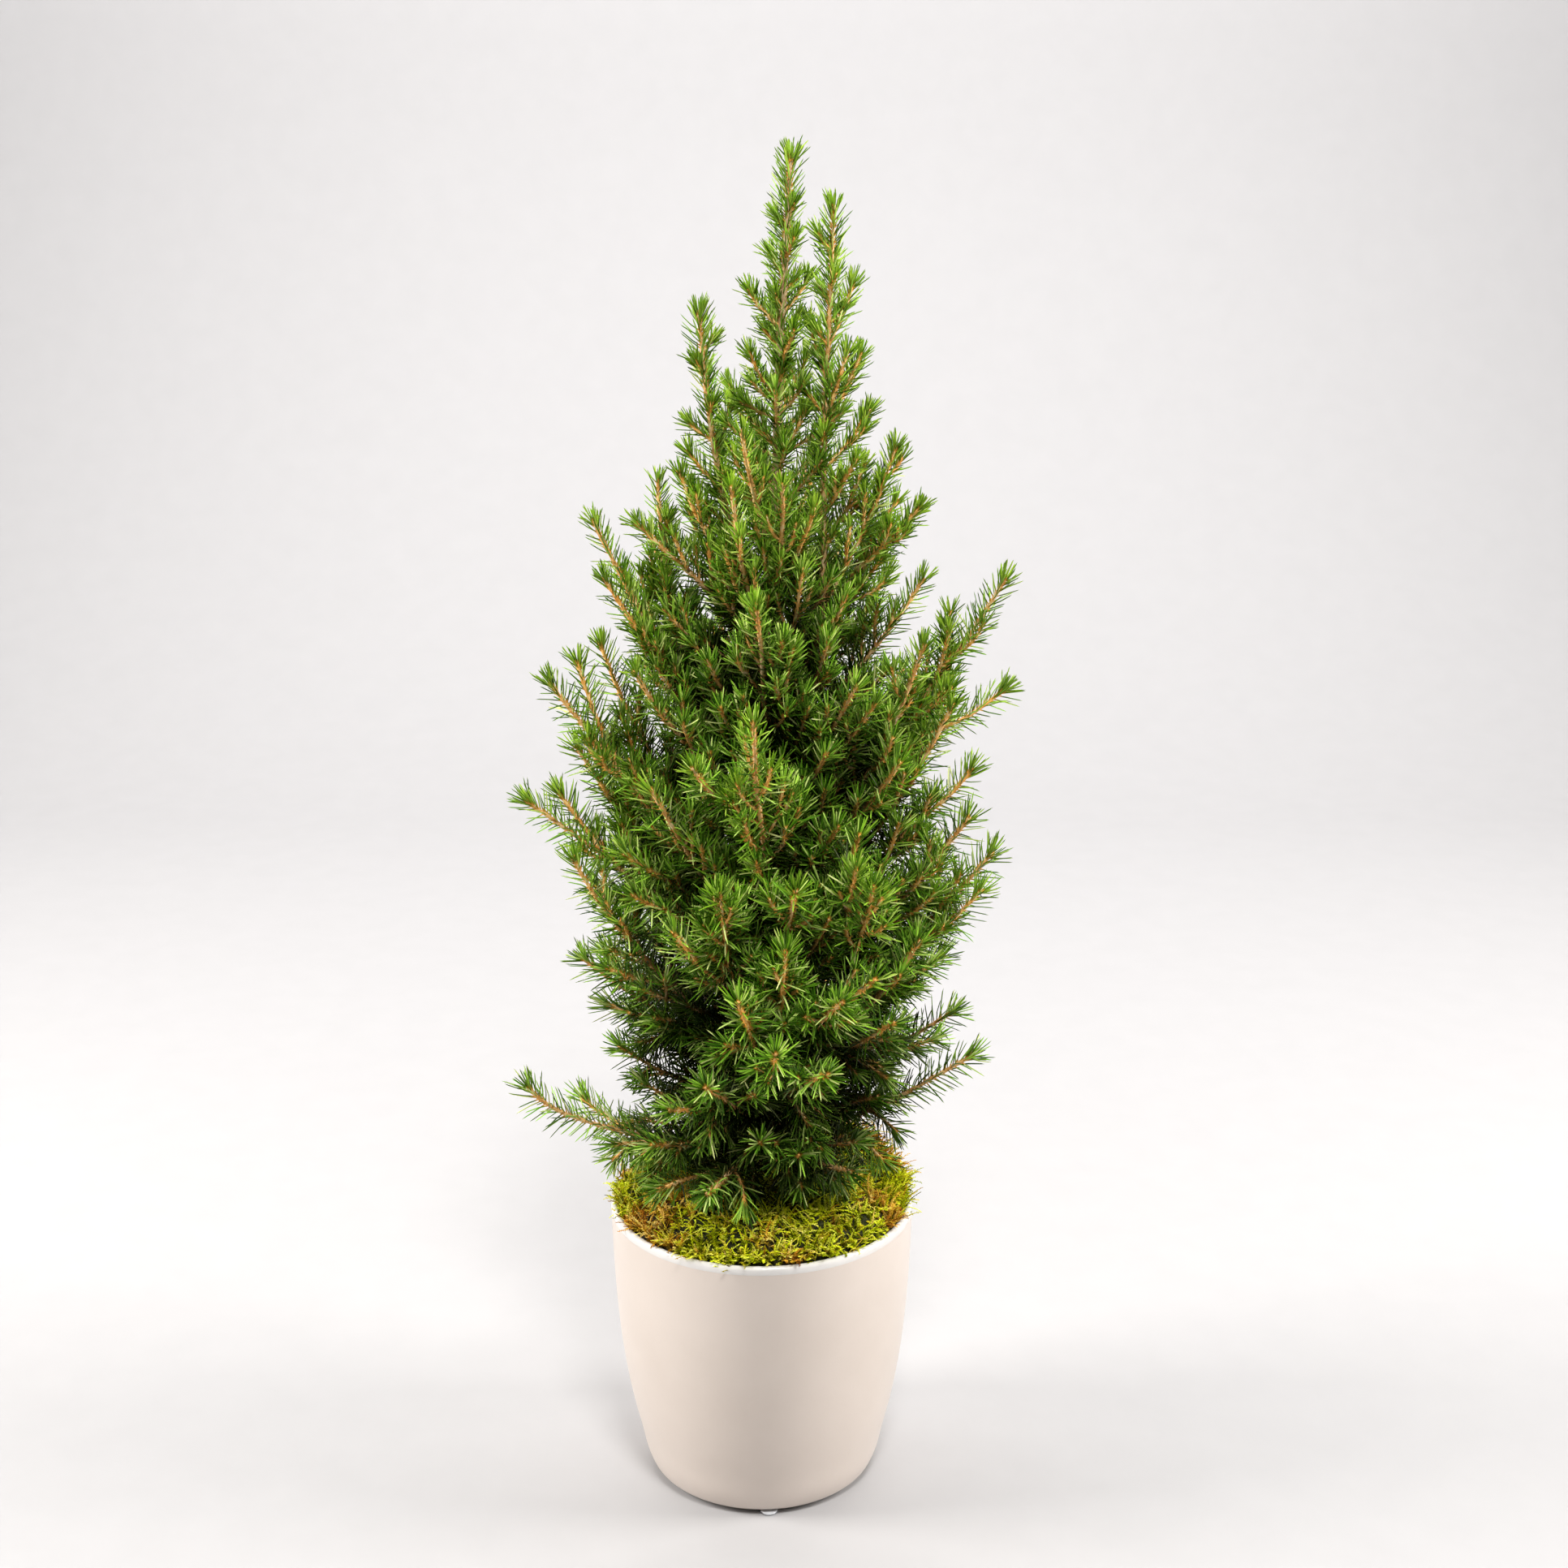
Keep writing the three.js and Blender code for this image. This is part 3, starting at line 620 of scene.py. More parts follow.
def needle_material():
    n = Nodes("spruce_needle")
    place, rnd, at, edge = n.tag()
    old = n.ramp(rnd, [
        (0.0, (0.007, 0.038, 0.002)), (0.36, (0.027, 0.114, 0.007)), (0.52, (0.135, 0.360, 0.020)),
        (0.79, (0.420, 0.780, 0.070)), (1.0, (0.960, 1.000, 0.430)),
    ])
    young = n.ramp(rnd, [
        (0.0, (0.030, 0.090, 0.003)), (0.38, (0.075, 0.190, 0.006)), (0.58, (0.200, 0.390, 0.014)),
        (1.0, (0.480, 0.680, 0.060)),
    ])
    body = n.mix(n.math("MAXIMUM", place, 0.0), old, young)
    # a pale band down one ridge of each needle: its stomatal line, made brighter to stand as a painted
    # highlight
    body = n.mix(n.times(edge, 0.45), body, (0.52, 0.74, 0.11))
    body = n.mix(n.times(n.noise(55.0, 2.0), 0.20), body, (0.16, 0.28, 0.01))
    # painted shade: each needle darkens towards its foot, where the other needles shade it
    body = n.mix(n.fade(0.62, 1.35, at), body, (0.008, 0.030, 0.001))
    # painted shade: the needles darken towards near black inside the crown and on shaded low shoots
    inner = n.times(n.math("SUBTRACT", 0.0, place, clamp=True), 0.97)
    body = n.mix(inner, body, (0.003, 0.010, 0.0005))
    tip = n.times(n.math("GREATER_THAN", at, 0.93), 0.6)
    body = n.mix(tip, body, (0.34, 0.40, 0.08))
    # orange pegs at the needles' feet, darkened by the same painted shade inside the crown
    peg = n.mix(inner, (0.90, 0.42, 0.080), (0.06, 0.030, 0.010))
    body = n.mix(n.fade(1.0, 5.5, at), body, peg)
    tint = (0.95, 1.0, 0.40, 1.0)
    return n.shade(Base_Color=body, Roughness=0.34, Specular_IOR_Level=0.14, Specular_Tint=tint)


def bark_material():
    n = Nodes("spruce_bark")
    age, _, deep, _ = n.tag()
    fine = n.noise(900.0, 4.0, 0.6)
    broad = n.noise(160.0, 3.0, 0.6)
    young = n.ramp(broad, [
        (0.30, (0.74, 0.30, 0.050)), (0.50, (1.0, 0.54, 0.140)), (0.70, (1.0, 0.80, 0.42)),
    ])
    old = n.ramp(broad, [
        (0.30, (0.20, 0.130, 0.070)), (0.5, (0.52, 0.38, 0.23)), (0.70, (0.78, 0.62, 0.43)),
    ])
    body = n.mix(age, young, old)
    body = n.mix(n.times(fine, 0.14), body, (0.28, 0.11, 0.030))
    # painted shade: the bark darkens towards near black deep inside the crown and low on the tree
    dark = n.times(n.math("SUBTRACT", deep, 0.28), 1.05, clamp=True)
    body = n.mix(dark, body, (0.030, 0.016, 0.007))
    ridges = n.bump(n.math("ADD", fine, broad), 0.5, 0.0008)
    return n.shade(Base_Color=body, Roughness=0.75, Specular_IOR_Level=0.2, Normal=ridges)


def bud_material():
    n = Nodes("bud_scale")
    _, rnd, _, _ = n.tag()
    g = n.noise(900.0, 3.0, 0.6)
    dark = n.ramp(g, [(0.3, (0.060, 0.016, 0.006)), (0.7, (0.22, 0.075, 0.025))])
    pale = n.ramp(g, [(0.3, (0.14, 0.060, 0.022)), (0.7, (0.40, 0.22, 0.10))])
    body = n.mix(rnd, dark, pale)
    return n.shade(Base_Color=body, Roughness=0.6, Normal=n.bump(g, 0.6, 0.0006))


def moss_material():
    n = Nodes("moss_frond")
    patch, rnd, at, _ = n.tag()
    green = n.ramp(rnd, [
        (0.0, (0.070, 0.092, 0.001)), (0.3, (0.310, 0.370, 0.003)), (0.6, (0.810, 0.890, 0.012)),
        (1.0, (0.970, 1.000, 0.120)),
    ])
    ochre = n.ramp(rnd, [
        (0.0, (0.130, 0.036, 0.004)), (0.3, (0.500, 0.185, 0.014)), (0.6, (0.900, 0.520, 0.055)),
        (1.0, (1.000, 0.780, 0.240)),
    ])
    body = n.mix(patch, green, ochre)
    body = n.mix(n.fade(0.85, 1.25, at), body, (0.020, 0.017, 0.004))
    return n.shade(Base_Color=body, Roughness=0.85, Specular_IOR_Level=0.04)


def moss_base_material():
    n = Nodes("moss_base")
    patch, _, _, _ = n.tag()
    grain = n.noise(420.0, 5.0, 0.7)
    green = n.ramp(grain, [
        (0.30, (0.005, 0.006, 0.001)), (0.55, (0.028, 0.034, 0.004)), (0.75, (0.10, 0.11, 0.012)),
    ])
    ochre = n.ramp(grain, [
        (0.30, (0.008, 0.005, 0.002)), (0.55, (0.040, 0.024, 0.007)), (0.75, (0.13, 0.085, 0.024)),
    ])
    body = n.mix(patch, green, ochre)
    return n.shade(Base_Color=body, Roughness=0.95, Normal=n.bump(grain, 1.0, 0.003))


def glaze_material():
    n = Nodes("satin_glaze")
    speck = n.noise(1500.0, 2.0, 0.5)
    cloud = n.noise(14.0, 4.0, 0.55)
    body = n.ramp(cloud, [(0.35, (0.655, 0.572, 0.508)), (0.65, (0.690, 0.606, 0.542))])
    body = n.mix(n.times(n.math("GREATER_THAN", speck, 0.735), 0.30), body, (0.42, 0.37, 0.31))
    rough = n.math("ADD", 0.36, n.times(cloud, 0.10))
    height = n.math("ADD", n.noise(230.0, 2.0), n.times(cloud, 2.0))
    normal = n.bump(height, 0.08, 0.0006)
    return n.shade(Base_Color=body, Roughness=rough, Coat_Weight=0.25, Coat_Roughness=0.22, Normal=normal)


def rim_material():
    n = Nodes("rim_glaze")
    cloud = n.noise(40.0, 3.0)
    body = n.ramp(cloud, [(0.3, (0.74, 0.715, 0.69)), (0.7, (0.78, 0.76, 0.735))])
    normal = n.bump(cloud, 0.06, 0.0005)
    return n.shade(Base_Color=body, Roughness=0.22, Coat_Weight=0.5, Coat_Roughness=0.08, Normal=normal)


def foot_material():
    n = Nodes("unglazed_foot")
    g = n.noise(700.0, 4.0, 0.6)
    body = n.ramp(g, [(0.3, (0.60, 0.55, 0.49)), (0.7, (0.74, 0.69, 0.63))])
    return n.shade(Base_Color=body, Roughness=0.85, Normal=n.bump(g, 0.3, 0.0005))


def clear_material():
    n = Nodes("clear_bumper")
    g = n.noise(300.0, 2.0)
    body = n.ramp(g, [(0.2, (0.86, 0.89, 0.93)), (0.8, (0.93, 0.95, 0.98))])
    return n.shade(Base_Color=body, Roughness=0.20, Transmission_Weight=0.2, IOR=1.49)


def liner_material():
    n = Nodes("nursery_plastic")
    dust = n.noise(60.0, 5.0, 0.65)
    grain = n.noise(1200.0, 2.0)
    body = n.ramp(dust, [
        (0.35, (0.012, 0.012, 0.013)), (0.62, (0.030, 0.028, 0.026)), (0.85, (0.110, 0.085, 0.060)),
    ])
    rough = n.math("ADD", 0.42, n.times(dust, 0.3))
    return n.shade(Base_Color=body, Roughness=rough, Normal=n.bump(grain, 0.25, 0.0004))


def soil_material():
    n = Nodes("peat")
    g = n.noise(260.0, 6.0, 0.7)
    fleck = n.noise(700.0, 2.0)
    body = n.ramp(g, [
        (0.3, (0.006, 0.004, 0.003)), (0.6, (0.040, 0.023, 0.013)), (0.8, (0.11, 0.07, 0.04)),
    ])
    body = n.mix(n.math("GREATER_THAN", fleck, 0.70), body, (0.42, 0.38, 0.32))
    return n.shade(Base_Color=body, Roughness=0.97, Normal=n.bump(g, 1.0, 0.004))


def floor_material():
    n = Nodes("studio_paper")
    g = n.noise(30.0, 3.0)
    body = n.ramp(g, [(0.3, (0.440, 0.432, 0.436)), (0.7, (0.450, 0.442, 0.446))])
    return n.shade(Base_Color=body, Roughness=0.8)


MAT = {
    "needle": needle_material(), "bark": bark_material(), "bud": bud_material(),
    "moss": moss_material(), "moss_base": moss_base_material(),
    "glaze": glaze_material(), "rim": rim_material(), "unglazed": foot_material(),
    "clear": clear_material(), "liner": liner_material(), "soil": soil_material(),
    "floor": floor_material(),
}


# ---- lathe work
NO_TAG = (0, 0, 0, 0)


def lathe(bag, profile, sides, mat, wobble=None):
    """Turns (radius, height) points about Z."""
    p = np.array(profile, float)
    a = turns(sides)
    r = p[:, None, 0]
    verts = np.stack([r * np.cos(a), r * np.sin(a), np.repeat(p[:, 1:2], sides, 1)], -1)
    if wobble:
        verts = wobble(verts, a)
    i, k = np.meshgrid(np.arange(len(p) - 1), np.arange(sides), indexing="ij")
    low, low_next = i * sides + k, i * sides + (k + 1) % sides
    tris = quads(low, low_next, low_next + sides, low + sides)
    bag.put(verts, tris, mat, NO_TAG)


# height above the foot ring and radius of the cachepot's outside
POT_SIDE = [
    (0, 63), (2, 66), (5, 68), (13, 70.8), (26, 73.6), (43, 77.6), (63, 81.3), (88, 84.6), (118, 87),
    (148, 88.3), (166, 88.6),
]
BASE = 2.3  # height of the cachepot's underside above the table
POT_WALL, POT_FLOOR = 3.6, 8.3
SEGMENTS = 144  # round the pots
GLAZE, RIM, UNGLAZED = 0, 1, 2  # material slots of the cachepot


def make_pot():
    bag = Bag()
    side = spline([(*row, 0) for row in POT_SIDE], 120)
    outer = [(r, z + BASE) for z, r, _ in side]
    wall = lambda z: POT_WALL + 1.6 * max(0.0, 1 - (z - BASE) / 50)
    inner = [(r - wall(z), z) for r, z in reversed(outer) if z > 12]
    bottom = [(0.01, BASE + 0.9), (47, BASE + 0.9), (50, BASE + 0.6), (51.5, BASE), (62.4, BASE)]
    lathe(bag, bottom + [outer[0]], SEGMENTS, UNGLAZED)
    lathe(bag, outer, SEGMENTS, GLAZE)
    # the rolled rim
    half, lip = 2.05, (85.0, 168.5)
    r, z = 86.75, POT_TOP - half
    roll = [(88.6, 168.3), (88.78, 169.1), (88.8, 170.3)]
    t = np.radians(np.linspace(4, 232, 20))
    roll += [(r + half * math.cos(x), z + half * math.sin(x)) for x in t] + [lip]
    lathe(bag, roll, SEGMENTS, RIM)
    floor = [(60, POT_FLOOR + 0.3), (56, POT_FLOOR), (0.01, POT_FLOOR)]
    lathe(bag, [lip] + inner[1:] + floor, SEGMENTS, GLAZE)
    ob = bag.make("cachepot", [MAT["glaze"], MAT["rim"], MAT["unglazed"]])
    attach(ob, "planter")
    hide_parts("planter_pot")


# radius and height of a bumper, as shares of its whole radius and height
BUMPER = [
    (0.002, 0), (0.60, 0), (0.76, 0.06), (0.87, 0.2), (0.945, 0.42), (0.985, 0.7), (1.0, 0.96), (0.96, 1.0),
    (0.002, 1.0),
]


def make_feet():
    for i in range(3):
        node = "bumper_foot_%d" % (i + 1)
        lo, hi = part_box(node)
        c = (np.array(lo) + np.array(hi)) / 2 / MM
        bag = Bag()
        wide, tall = (hi[0] - lo[0]) / 2 / MM, (hi[2] - lo[2]) / MM
        lathe(bag, [(r * wide, z * tall) for r, z in BUMPER], 40, 0)
        bag.v[0] += np.array([c[0], c[1], 0])
        ob = bag.make("clear_bumper_%d" % (i + 1), [MAT["clear"]])
        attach(ob, "planter")
        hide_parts(node)


# the nursery pot: heights of its foot and top, thickness, and its floor with the drain holes
LINER_FOOT, LINER_TOP, LINER_WALL = 8.6, 158.5, 1.6
PLATE_R, HOLES, HOLE_RING, HOLE_R = 46, 6, 36, 5.0


def liner_floor(bag, low, high):
    """A flat round plate between two heights, with the drain holes through it."""
    holes = circle(0, 0, HOLE_RING, HOLES)
    points = circle(0, 0, PLATE_R, SEGMENTS)
    edges = [(k, (k + 1) % SEGMENTS) for k in range(SEGMENTS)]
    m = 24  # sides of a hole
    for x, y in holes:
        start = len(points)
        points += circle(x, y, HOLE_R, m)
        edges += [(start + k, start + (k + 1) % m) for k in range(m)]
    out = delaunay_2d_cdt([Vector(p) for p in points], edges, [], 0, 1e-6)
    flat = np.array([tuple(p) for p in out[0]])
    tris = np.array([f for f in out[2] if len(f) == 3])
    mid = flat[tris].mean(axis=1)
    keep = np.all([np.hypot(mid[:, 0] - x, mid[:, 1] - y) > HOLE_R * 0.98 for x, y in holes], axis=0)
    tris = tris[keep]
    a, b, c = flat[tris[:, 0]], flat[tris[:, 1]], flat[tris[:, 2]]
    turned = (b[:, 0] - a[:, 0]) * (c[:, 1] - a[:, 1]) - (b[:, 1] - a[:, 1]) * (c[:, 0] - a[:, 0]) < 0
    tris[turned] = tris[turned][:, ::-1]
    for z, order in ((high, tris), (low, tris[:, ::-1])):
        bag.put(np.column_stack([flat, np.full(len(flat), z)]), order, 0, NO_TAG)
    for x, y in holes:
        wall = np.array([(*p, z) for z in (low, high) for p in circle(x, y, HOLE_R, m)])
        k = np.arange(m)
        q = (k + 1) % m
        bag.put(wall, quads(k, k + m, q + m, q), 0, NO_TAG)


def make_liner():
    bag = Bag()
    foot, top = LINER_FOOT, LINER_TOP
    liner_floor(bag, foot, foot + LINER_WALL)
    r = lambda z: 54 + 20 * (z - foot) / (top - foot)
    # the outside: the foot, the ringed side and the collar
    prof = [(PLATE_R, foot), (50, foot + 0.4), (52.4, foot + 0.2), (53.6, foot + 1.2)]
    prof += [(r(foot + 4), foot + 4)]
    prof += [(r(z) + (0.35 if int(z / 3) % 2 else 0), z) for z in np.arange(foot + 8, top - 14, 3.0)]
    prof += [(r(top - 12.4), top - 12.4), (r(top - 12) + 1.9, top - 12), (r(top - 11.5) + 2.2, top - 11.2)]
    prof += [(76.4, top - 2), (76.3, top - 0.6), (75.6, top)]
    # the inside, back down to the floor
    prof += [(73.2, top), (72.9, top - 0.6), (r(foot + 4) - 1.2, foot + 4), (50, foot + LINER_WALL)]
    prof += [(PLATE_R, foot + LINER_WALL)]

    def ribs(v, a):
        on_side = (v[..., 2] > foot + 6) & (v[..., 2] < top - 13)
        k = 1 + 0.0035 * np.where(on_side, np.cos(24 * a)[None, :], 0)
        v[..., 0] *= k
        v[..., 1] *= k
        return v

    lathe(bag, prof, SEGMENTS, 0, wobble=ribs)
    ob = bag.make("nursery_pot", [MAT["liner"]])
    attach(ob, "plant")
    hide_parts("grow_pot")


# ---- moss
MOSS_BASE, FROND = 0, 1  # material slots of a moss piece


def heap_at(x, y, cx, cy, wide, deep):
    """A round heap of height 1 with its middle at cx, cy."""
    return np.exp(-(((x - cx) / wide) ** 2) - ((y - cy) / deep) ** 2)


def moss_top(x, y):
    """Height of the moss."""
    r = np.hypot(x, y) / MOSS_R
    heap = 8 * heap_at(x, y, 60, 36, 24, 24)
    wave = 3.5 * np.sin(x / 17 + 1) * np.cos(y / 14) + 5 * (x / MOSS_R) * np.maximum(0, y / MOSS_R)
    return POT_TOP + 17 - 15 * r**5 + wave + heap


def lumps(x, y):
    """Low cushions of moss, in millimetres."""
    v = 1.5 * np.sin(x / 5.1 + 2.0) * np.sin(y / 4.3 + 1.0)
    return v + 1.1 * np.sin(x / 2.9 - y / 3.7 + 0.5) + 0.8 * np.sin(x / 1.7 + y / 2.3)


def moss_patch(x, y):
    """0 where the moss is green, 1 where it has dried to ochre."""
    v = 0.5 * np.sin(x / 19 + 0.6) * np.cos(y / 15 - 0.9)
    v = v + 0.35 * np.sin(x / 8.3 + y / 10.1 + 2.2) + 0.25 * np.sin(x / 4.1 - y / 5.3)
    v = v + 0.6 * heap_at(x, y, -58, -46, 26, 26) + 0.7 * heap_at(x, y, 70, 30, 24, 24)
    v = v - 0.5 * heap_at(x, y, 10, -62, 34, 34)
    return smooth((v - 0.02) / 0.55)


MOSS_FRONDS, FRINGE_FRONDS = 1340, 560  # on each of the four pieces; the fringe stands at the rim
STEM_POINTS, LEAFLETS = 6, 16  # of a frond


def frond(bag, root, direction, size, patch, tone, rng):
    """A small curved feather: a stem and short leaflets in two rows."""
    curl = unit(rng.normal(size=3) + np.array([0, 0, 0.2]))
    n = STEM_POINTS
    t = np.linspace(0, 1, n)[:, None]
    path = root + direction * size * t + curl * size * 0.42 * t**2 + UP * (-0.25 * size) * t**3
    d = unit(np.gradient(path, axis=0))
    side = unit(np.cross(d, UP + 0.3 * curl))
    up = np.cross(side, d)
    w = 0.52 * (1 - 0.7 * t)
    ring = np.stack([path + side * w, path + up * w, path - side * w], 1).reshape(-1, 3)
    tags = np.zeros((len(ring), 4))
    tags[:, 0], tags[:, 1], tags[:, 2] = patch, tone, np.repeat(t[:, 0], 3)
    verts = np.concatenate([ring, path[:1], path[-1:]])
    bag.put(verts, ring_tris(n, 3), FROND, np.concatenate([tags, tags[:1], tags[-1:]]))
    m = LEAFLETS
    s = np.linspace(0.12, 0.97, m)
    pos, dd, ss = (sample(s, t[:, 0], v) for v in (path, d, side))
    sign = np.where(np.arange(m) % 2, 1.0, -1.0)[:, None]
    out = unit(dd * 0.75 + ss * sign + UP * rng.uniform(-0.35, 0.45, (m, 1)))
    long = (2.35 * (1 - 0.55 * s) * rng.uniform(0.7, 1.2, m))[:, None]
    broad = np.cross(out, UP) * 0.46
    a, b, c = pos - broad, pos + broad, pos + out * long
    mid = pos + out * long * 0.5 + UP * 0.22
    verts = np.stack([a, b, c, mid], 1)
    k = 4 * np.arange(m)[:, None]
    tris = np.concatenate([k + np.array(q) for q in ([0, 1, 3], [1, 2, 3], [2, 0, 3], [0, 2, 1])])
    lt = np.zeros((4 * m, 4))
    lt[:, 0], lt[:, 1], lt[:, 2] = patch, tone, np.repeat(0.45 + 0.55 * s, 4)
    bag.put(verts, tris, FROND, lt)


def make_moss():
    for q in range(4):
        rng = np.random.default_rng(MOSS_SEED + q)
        bag = Bag()
        a0, a1 = math.radians(90 * q + 20), math.radians(90 * q + 110)
        radii = np.concatenate([np.linspace(MOSS_HOLE, 78, 34), np.linspace(79, MOSS_R + 0.4, 6)])
        ang = np.linspace(a0, a1, 60)
        rr, aa = np.meshgrid(radii, ang, indexing="ij")
        x, y = rr * np.cos(aa), rr * np.sin(aa)
        z = moss_top(x, y) + lumps(x, y) - 2.5
        z[-1] = MOSS_FOOT + 7
        tag = np.zeros((*z.shape, 4))
        tag[..., 0] = moss_patch(x, y)
        n, k = z.shape
        i, j = np.meshgrid(np.arange(n - 1), np.arange(k - 1), indexing="ij")
        at = i * k + j
        top = np.stack([x, y, z], -1)
        bag.put(top, quads(at, at + k, at + k + 1, at + 1), MOSS_BASE, tag.reshape(-1, 4))
        # the outer wall and the underside
        low = np.stack([x, y, np.full_like(z, MOSS_FOOT)], -1)[[0, -1]]
        m = np.arange(k - 1)
        bag.put([top[-1], low[1]], quads(m, m + k, m + k + 1, m + 1), MOSS_BASE, (0.4, 0, 0, 0))
        bag.put(low, quads(m, m + 1, m + k + 1, m + k), MOSS_BASE, (0.4, 0, 0, 0))
        for i in range(MOSS_FRONDS + FRINGE_FRONDS):
            in_fringe = i >= MOSS_FRONDS
            r = math.sqrt(rng.uniform((MOSS_HOLE / MOSS_R) ** 2, 1.0)) * (MOSS_R - 0.5)
            if in_fringe:
                r = rng.uniform(MOSS_R - 4.0, MOSS_R + 0.3)
            a = rng.uniform(a0, a1)
            # more of the fringe stands at the right, where the moss is highest
            if in_fringe and q in (0, 3) and rng.uniform() < 0.35:
                a = rng.uniform(*((a0, math.radians(62)) if q == 0 else (math.radians(358), a1)))
            px, py = r * math.cos(a), r * math.sin(a)
            high = moss_top(px, py) + lumps(px, py) - 3.6
            if in_fringe and high > POT_TOP + 2:
                high = rng.uniform(POT_TOP - 2, high)
            root = np.array([px, py, high])
            az = rng.uniform(0, 2 * math.pi)
            el = math.radians(rng.uniform(8, 62))
            direction = np.array([math.cos(az) * math.cos(el), math.sin(az) * math.cos(el), math.sin(el)])
            size = rng.uniform(6, 13) * (1.5 if rng.uniform() < 0.15 else 1.0)
            mound = math.sin(a) * 0.5 + math.cos(a) * 0.5
            outward = np.array([math.cos(a), math.sin(a), 0])
            if r > MOSS_R - 14:
                direction = unit(direction + rng.uniform(-0.5, 0.35) * outward + 0.6 * UP)
                size *= 0.85 + 0.45 * max(0.0, mound)
            if in_fringe:
                size *= 0.80
                if rng.uniform() < 0.5:
                    direction = unit(direction + 0.9 * (outward + 0.25 * UP))
            patch = float(np.clip(moss_patch(px, py) + rng.normal(0, 0.32), 0, 1))
            # painted shade: the moss fronds at the right are darker, where the foliage shades them
            shaded = 1 - 0.28 * heap_at(px, py, 74, -2, 26, 44)
            frond(bag, root, direction, size, patch, shaded * rng.uniform(), rng)
        ob = bag.make("moss_cover_%d" % (q + 1), [MAT["moss_base"], MAT["moss"]])
        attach(ob, "plant")
        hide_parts("moss_mat_%d" % (q + 1))


# ---- trunk, leaders and limbs
def side_shoots(bag, path, rows, rng):
    """The side shoots of a stem, from rows of (height of the foot, azimuth, reach, height of the tip)."""
    for h, az, reach, top in rows:
        foot = path[int(np.argmin(np.abs(path[:, 2] - h)))]
        twig = trimmed(bezier(foot, polar(foot, az, reach, top), 0.08))
        shoot(bag, wavy(twig, rng, 0.4), 1.0, 0.7, 4.0, rng, density=1.6, age=0.1)
        if lengths(twig)[-1] > 38:
            laterals(bag, twig, rng, first=0.25, last=14.0, gap=12.0, most=22.0, depth=1)


def tufts(bag, path, first, gap, rng):
    """Short side tufts all the way round an upright leader."""
    total = lengths(path)[-1]
    s, turn = first, rng.uniform(0, 6)
    while s < total - LEADER_END:
        pos, d = along(path, [s])
        u = unit(np.cross(d[0], np.array([0.3, 1.0, 0.1])))
        out = math.cos(turn) * u + math.sin(turn) * np.cross(d[0], u)
        size = rng.uniform(5, 13)
        t = np.linspace(0, 1, 8)[:, None]
        twig = pos[0] + (unit(d[0] * 0.75 + out) * size) * t + d[0] * 3.0 * t**2
        shoot(bag, twig, 0.9, 0.7, 1.0, rng, density=1.5, scale=1.04, tuft=16)
        s += gap * rng.uniform(0.7, 1.3)
        turn += GOLDEN + rng.uniform(-0.4, 0.4)


INNER_TWIGS = 110  # short twigs that fill the heart of the crown


def make_trunk():
    rng = np.random.default_rng(TRUNK_SEED)
    bag = Bag()
    path = spline([(x, y, z) for z, x, y, _ in TRUNK], 160)
    heights = path[:, 2]
    total = lengths(path)[-1]
    radius = lambda t: float(trunk_at(np.interp(t * total, lengths(path), heights))[2])
    tube(bag, path, radius, 14, (0.85, 0.5, 0, 0), rng, rough=0.07, step=3.0)
    # dense needles at the top of the stem, few below that, none lower down
    needles(bag, path[heights > 655], 0.0, 1.6, rng, density=1.9, scale=1.10, tuft=22)
    needles(bag, path[(heights > 590) & (heights < 660)], 0.0, 2.2, rng, density=0.5)
    side_shoots(bag, path, TRUNK_SHOOTS, rng)
    tufts(bag, path, total - 125.0, 8.5, rng)
    ob = grown(bag, "trunk_and_leader")
    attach(ob, "plant")
    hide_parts("trunk")
    single, more, lower, upper = Bag(), Bag(), Bag(), Bag()
    sprigs(single, "trunk", rng)
    for i in range(INNER_TWIGS):
        share = i / INNER_TWIGS
        h = 236 + 406 * share + rng.uniform(-3, 3)
        az = math.degrees(GOLDEN * i) + rng.uniform(-15, 15)
        c = trunk_at(h)
        foot = polar(c, az, c[2] * 0.6, h)
        reach = rng.uniform(30, 66) * (1 - 0.45 * share)
        rise = rng.uniform(0.1, 0.6) if h < 290 else rng.uniform(0.4, 1.2)
        tip = polar(c, az, reach, max(h + reach * rise, 205 + 10 * rng.uniform()))
        part = lower if h < 400 else upper
        path = bezier(foot, tip, 0.1, 15)
        # painted shade: the twigs in the heart of the crown are darkened
        shoot(part, path, 0.95, 0.6, 6.0, rng, density=1.45, age=0.5, shade=0.3, tuft=14)
    sprigs(more, "trunk_more", rng)
    for part, name in (
        (single, "trunk_sprigs_1"), (more, "trunk_sprigs_2"),
        (lower, "inner_twigs_lower"), (upper, "inner_twigs_upper"),
    ):
        ob = grown(part, name)
        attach(ob, "plant")
        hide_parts("trunk")


def make_leader(node, points, rows, seed, bare):
    """An upright stem beside the trunk. bare is the share of its length with few needles."""
    rng = np.random.default_rng(seed)
    bag = Bag()
    path = wavy(spline(points, 120), rng, 0.4)
    total = lengths(path)[-1]
    tube(bag, path, lambda t: 2.4 - 1.6 * t, 9, (0.45, 0.5, 0, 0), rng, rough=0.08, step=3.0)
    needles(bag, path, bare * total, 1.1, rng, density=1.8, scale=1.08, tuft=22)
    needles(bag, path[: len(path) // 2], 10.0, 1.8, rng, density=0.6)
    tufts(bag, path, bare * total, 11.0, rng)
    side_shoots(bag, path, rows, rng)
    sprigs(bag, node, rng)
    ob = grown(bag, node + "_shoot")
    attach(ob, "plant")
    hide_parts(node)


def make_limbs():
    body_of = {n: b for b, names in frame["record"]["behaviour"]["bodies"].items() for n in names}
    seed = LIMB_SEED
    for side, rows in LIMBS.items():
        for i, row in enumerate(rows):
            name = "limb_%s_%02d" % (side, i + 1)
            ob = limb(name, *row, seed)
            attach(ob, body_of[name])
            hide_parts(name)
            seed += 1


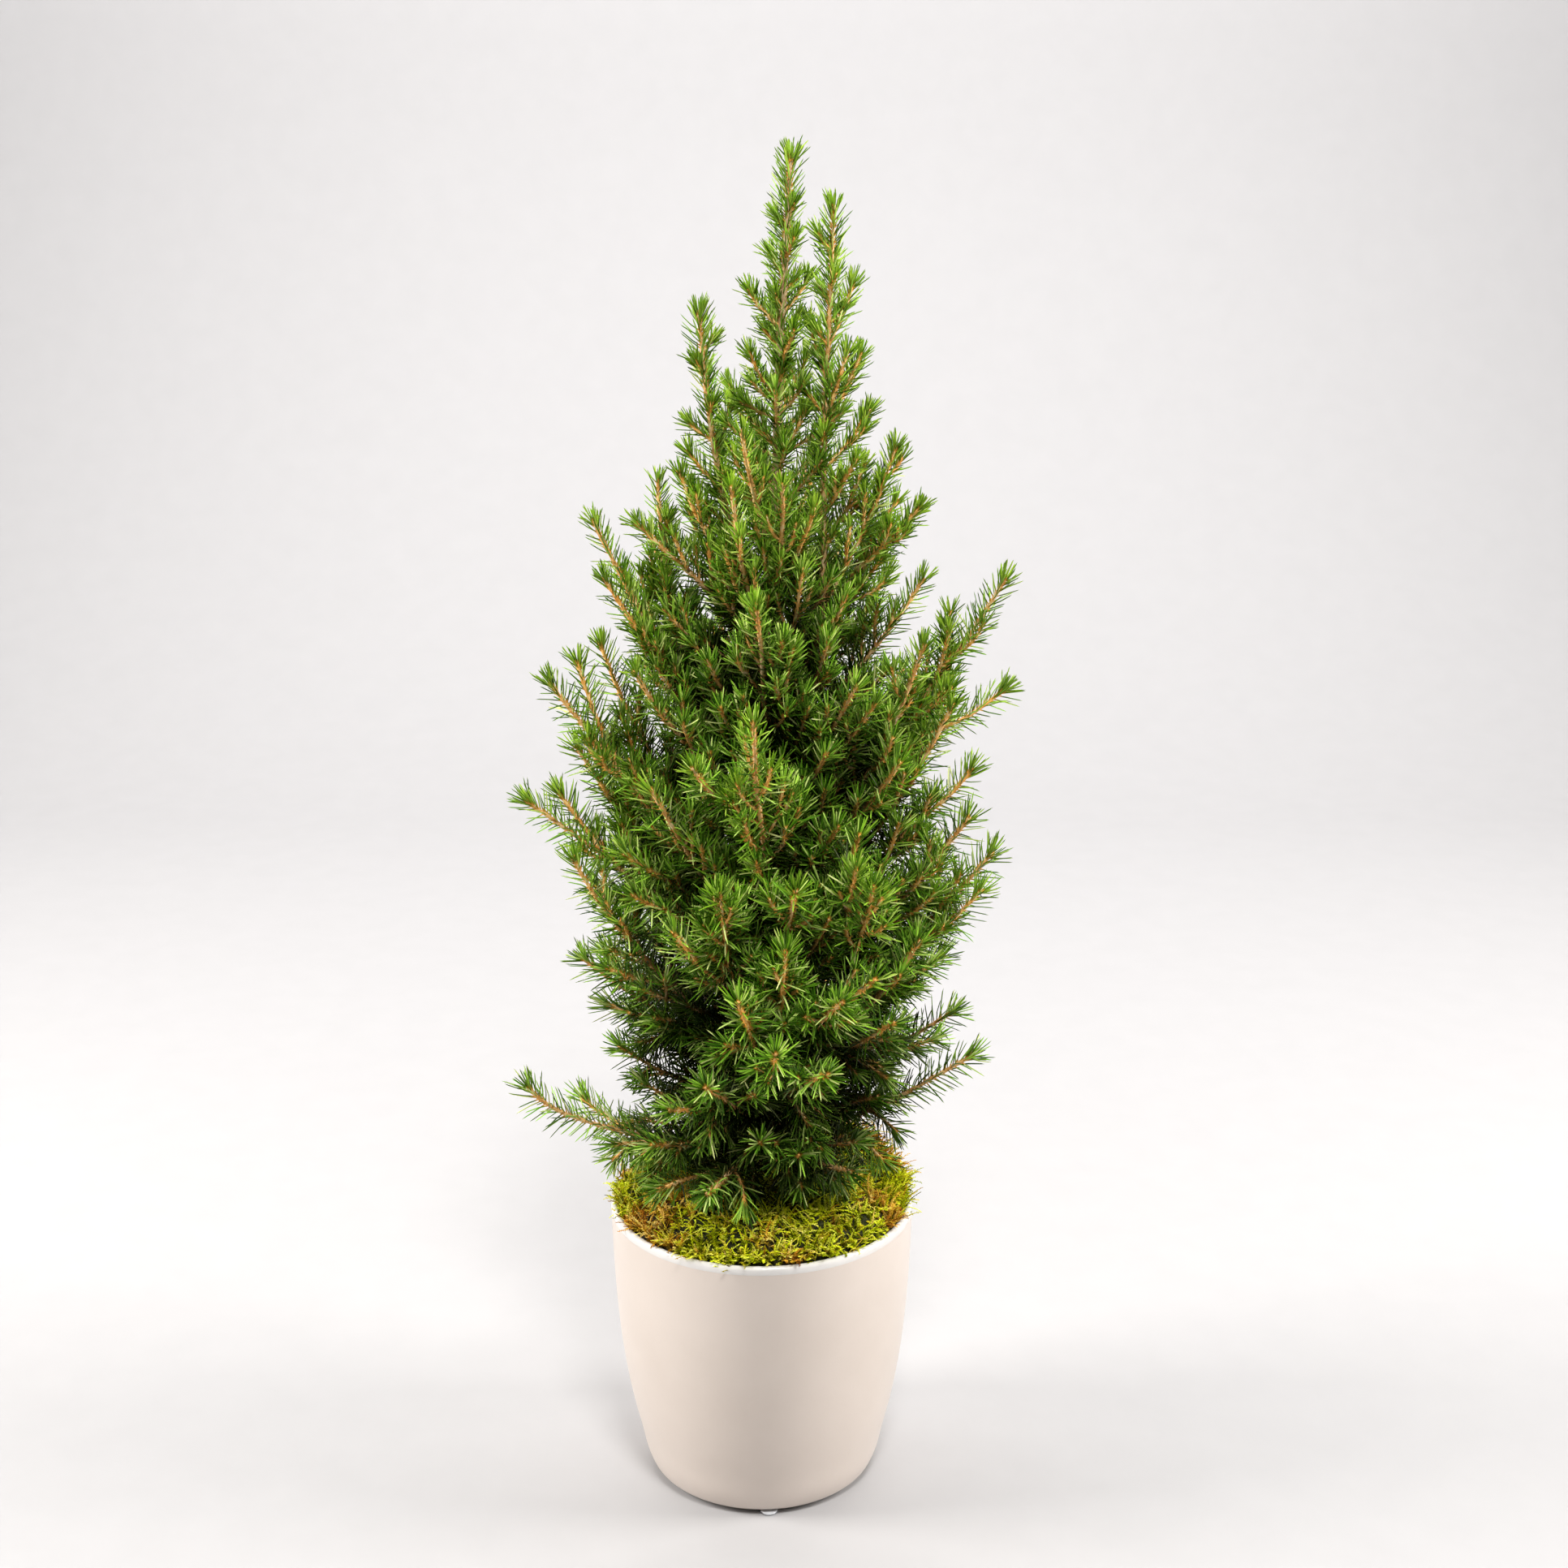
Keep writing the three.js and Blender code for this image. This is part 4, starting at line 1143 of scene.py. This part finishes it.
make_pot()
make_feet()
make_liner()
make_moss()
make_trunk()
make_leader("leader_right", LEADER_RIGHT, LEADER_RIGHT_SHOOTS, 21, 0.30)
make_leader("leader_left", LEADER_LEFT, LEADER_LEFT_SHOOTS, 22, 0.25)
make_limbs()
root_ball = frame["nodes"]["root_ball"].data.materials
root_ball.clear()
root_ball.append(MAT["soil"])


# ---- studio
def make_studio():
    bag = Bag()
    # in metres: radius of the bend, where it starts, height of the wall, half the width
    bend, start, high, wide = 0.9, 1.3, 4.0, 4.0
    arc = np.linspace(0.1, math.pi / 2, 14)
    prof = [(-3.0, 0.0), (start, 0.0)]
    prof += [(start + bend * math.sin(t), bend - bend * math.cos(t)) for t in arc]
    prof += [(start + bend, high)]
    verts = np.array([[x, y, z] for x in (-wide, wide) for y, z in prof]) / MM
    n = len(prof)
    k = np.arange(n - 1)
    bag.put(verts, quads(k, k + n, k + n + 1, k + 1), 0, NO_TAG)
    ob = bag.make("studio_sweep", [MAT["floor"]])


def area(name, place, target, size, power, color=(1, 1, 1)):
    data = bpy.data.lights.new(name, "AREA")
    data.shape, data.size, data.size_y = "RECTANGLE", size[0], size[1]
    data.energy, data.color = power, color
    ob = bpy.data.objects.new(name, data)
    ob.location = place
    ob.rotation_euler = (Vector(target) - Vector(place)).to_track_quat("-Z", "Y").to_euler()
    bpy.context.scene.collection.objects.link(ob)


def make_lights():
    world = bpy.data.worlds.new("studio")
    world.use_nodes = True
    colour, strength = world.node_tree.nodes["Background"].inputs[:2]
    colour.default_value, strength.default_value = (1.0, 0.98, 0.98, 1.0), 0.08
    bpy.context.scene.world = world
    area("soft_left", (-1.7, -0.16, 1.10), (0, 0, 0.4), (0.7, 1.0), 45.0, (1.0, 0.975, 0.94))
    area("soft_right", (1.7, -0.10, 1.10), (0, 0, 0.4), (0.7, 1.0), 39.0, (1.0, 0.98, 0.95))
    area("front_top", (0.25, -1.3, 2.30), (0, 0, 0.4), (0.5, 0.4), 38.0, (1.0, 0.99, 0.97))
    area("wall_wash", (0.0, 0.9, 2.4), (0, 2.0, 0.8), (2.6, 0.8), 68.0)


make_studio()
make_lights()
bpy.context.scene.view_settings.view_transform = "Standard"
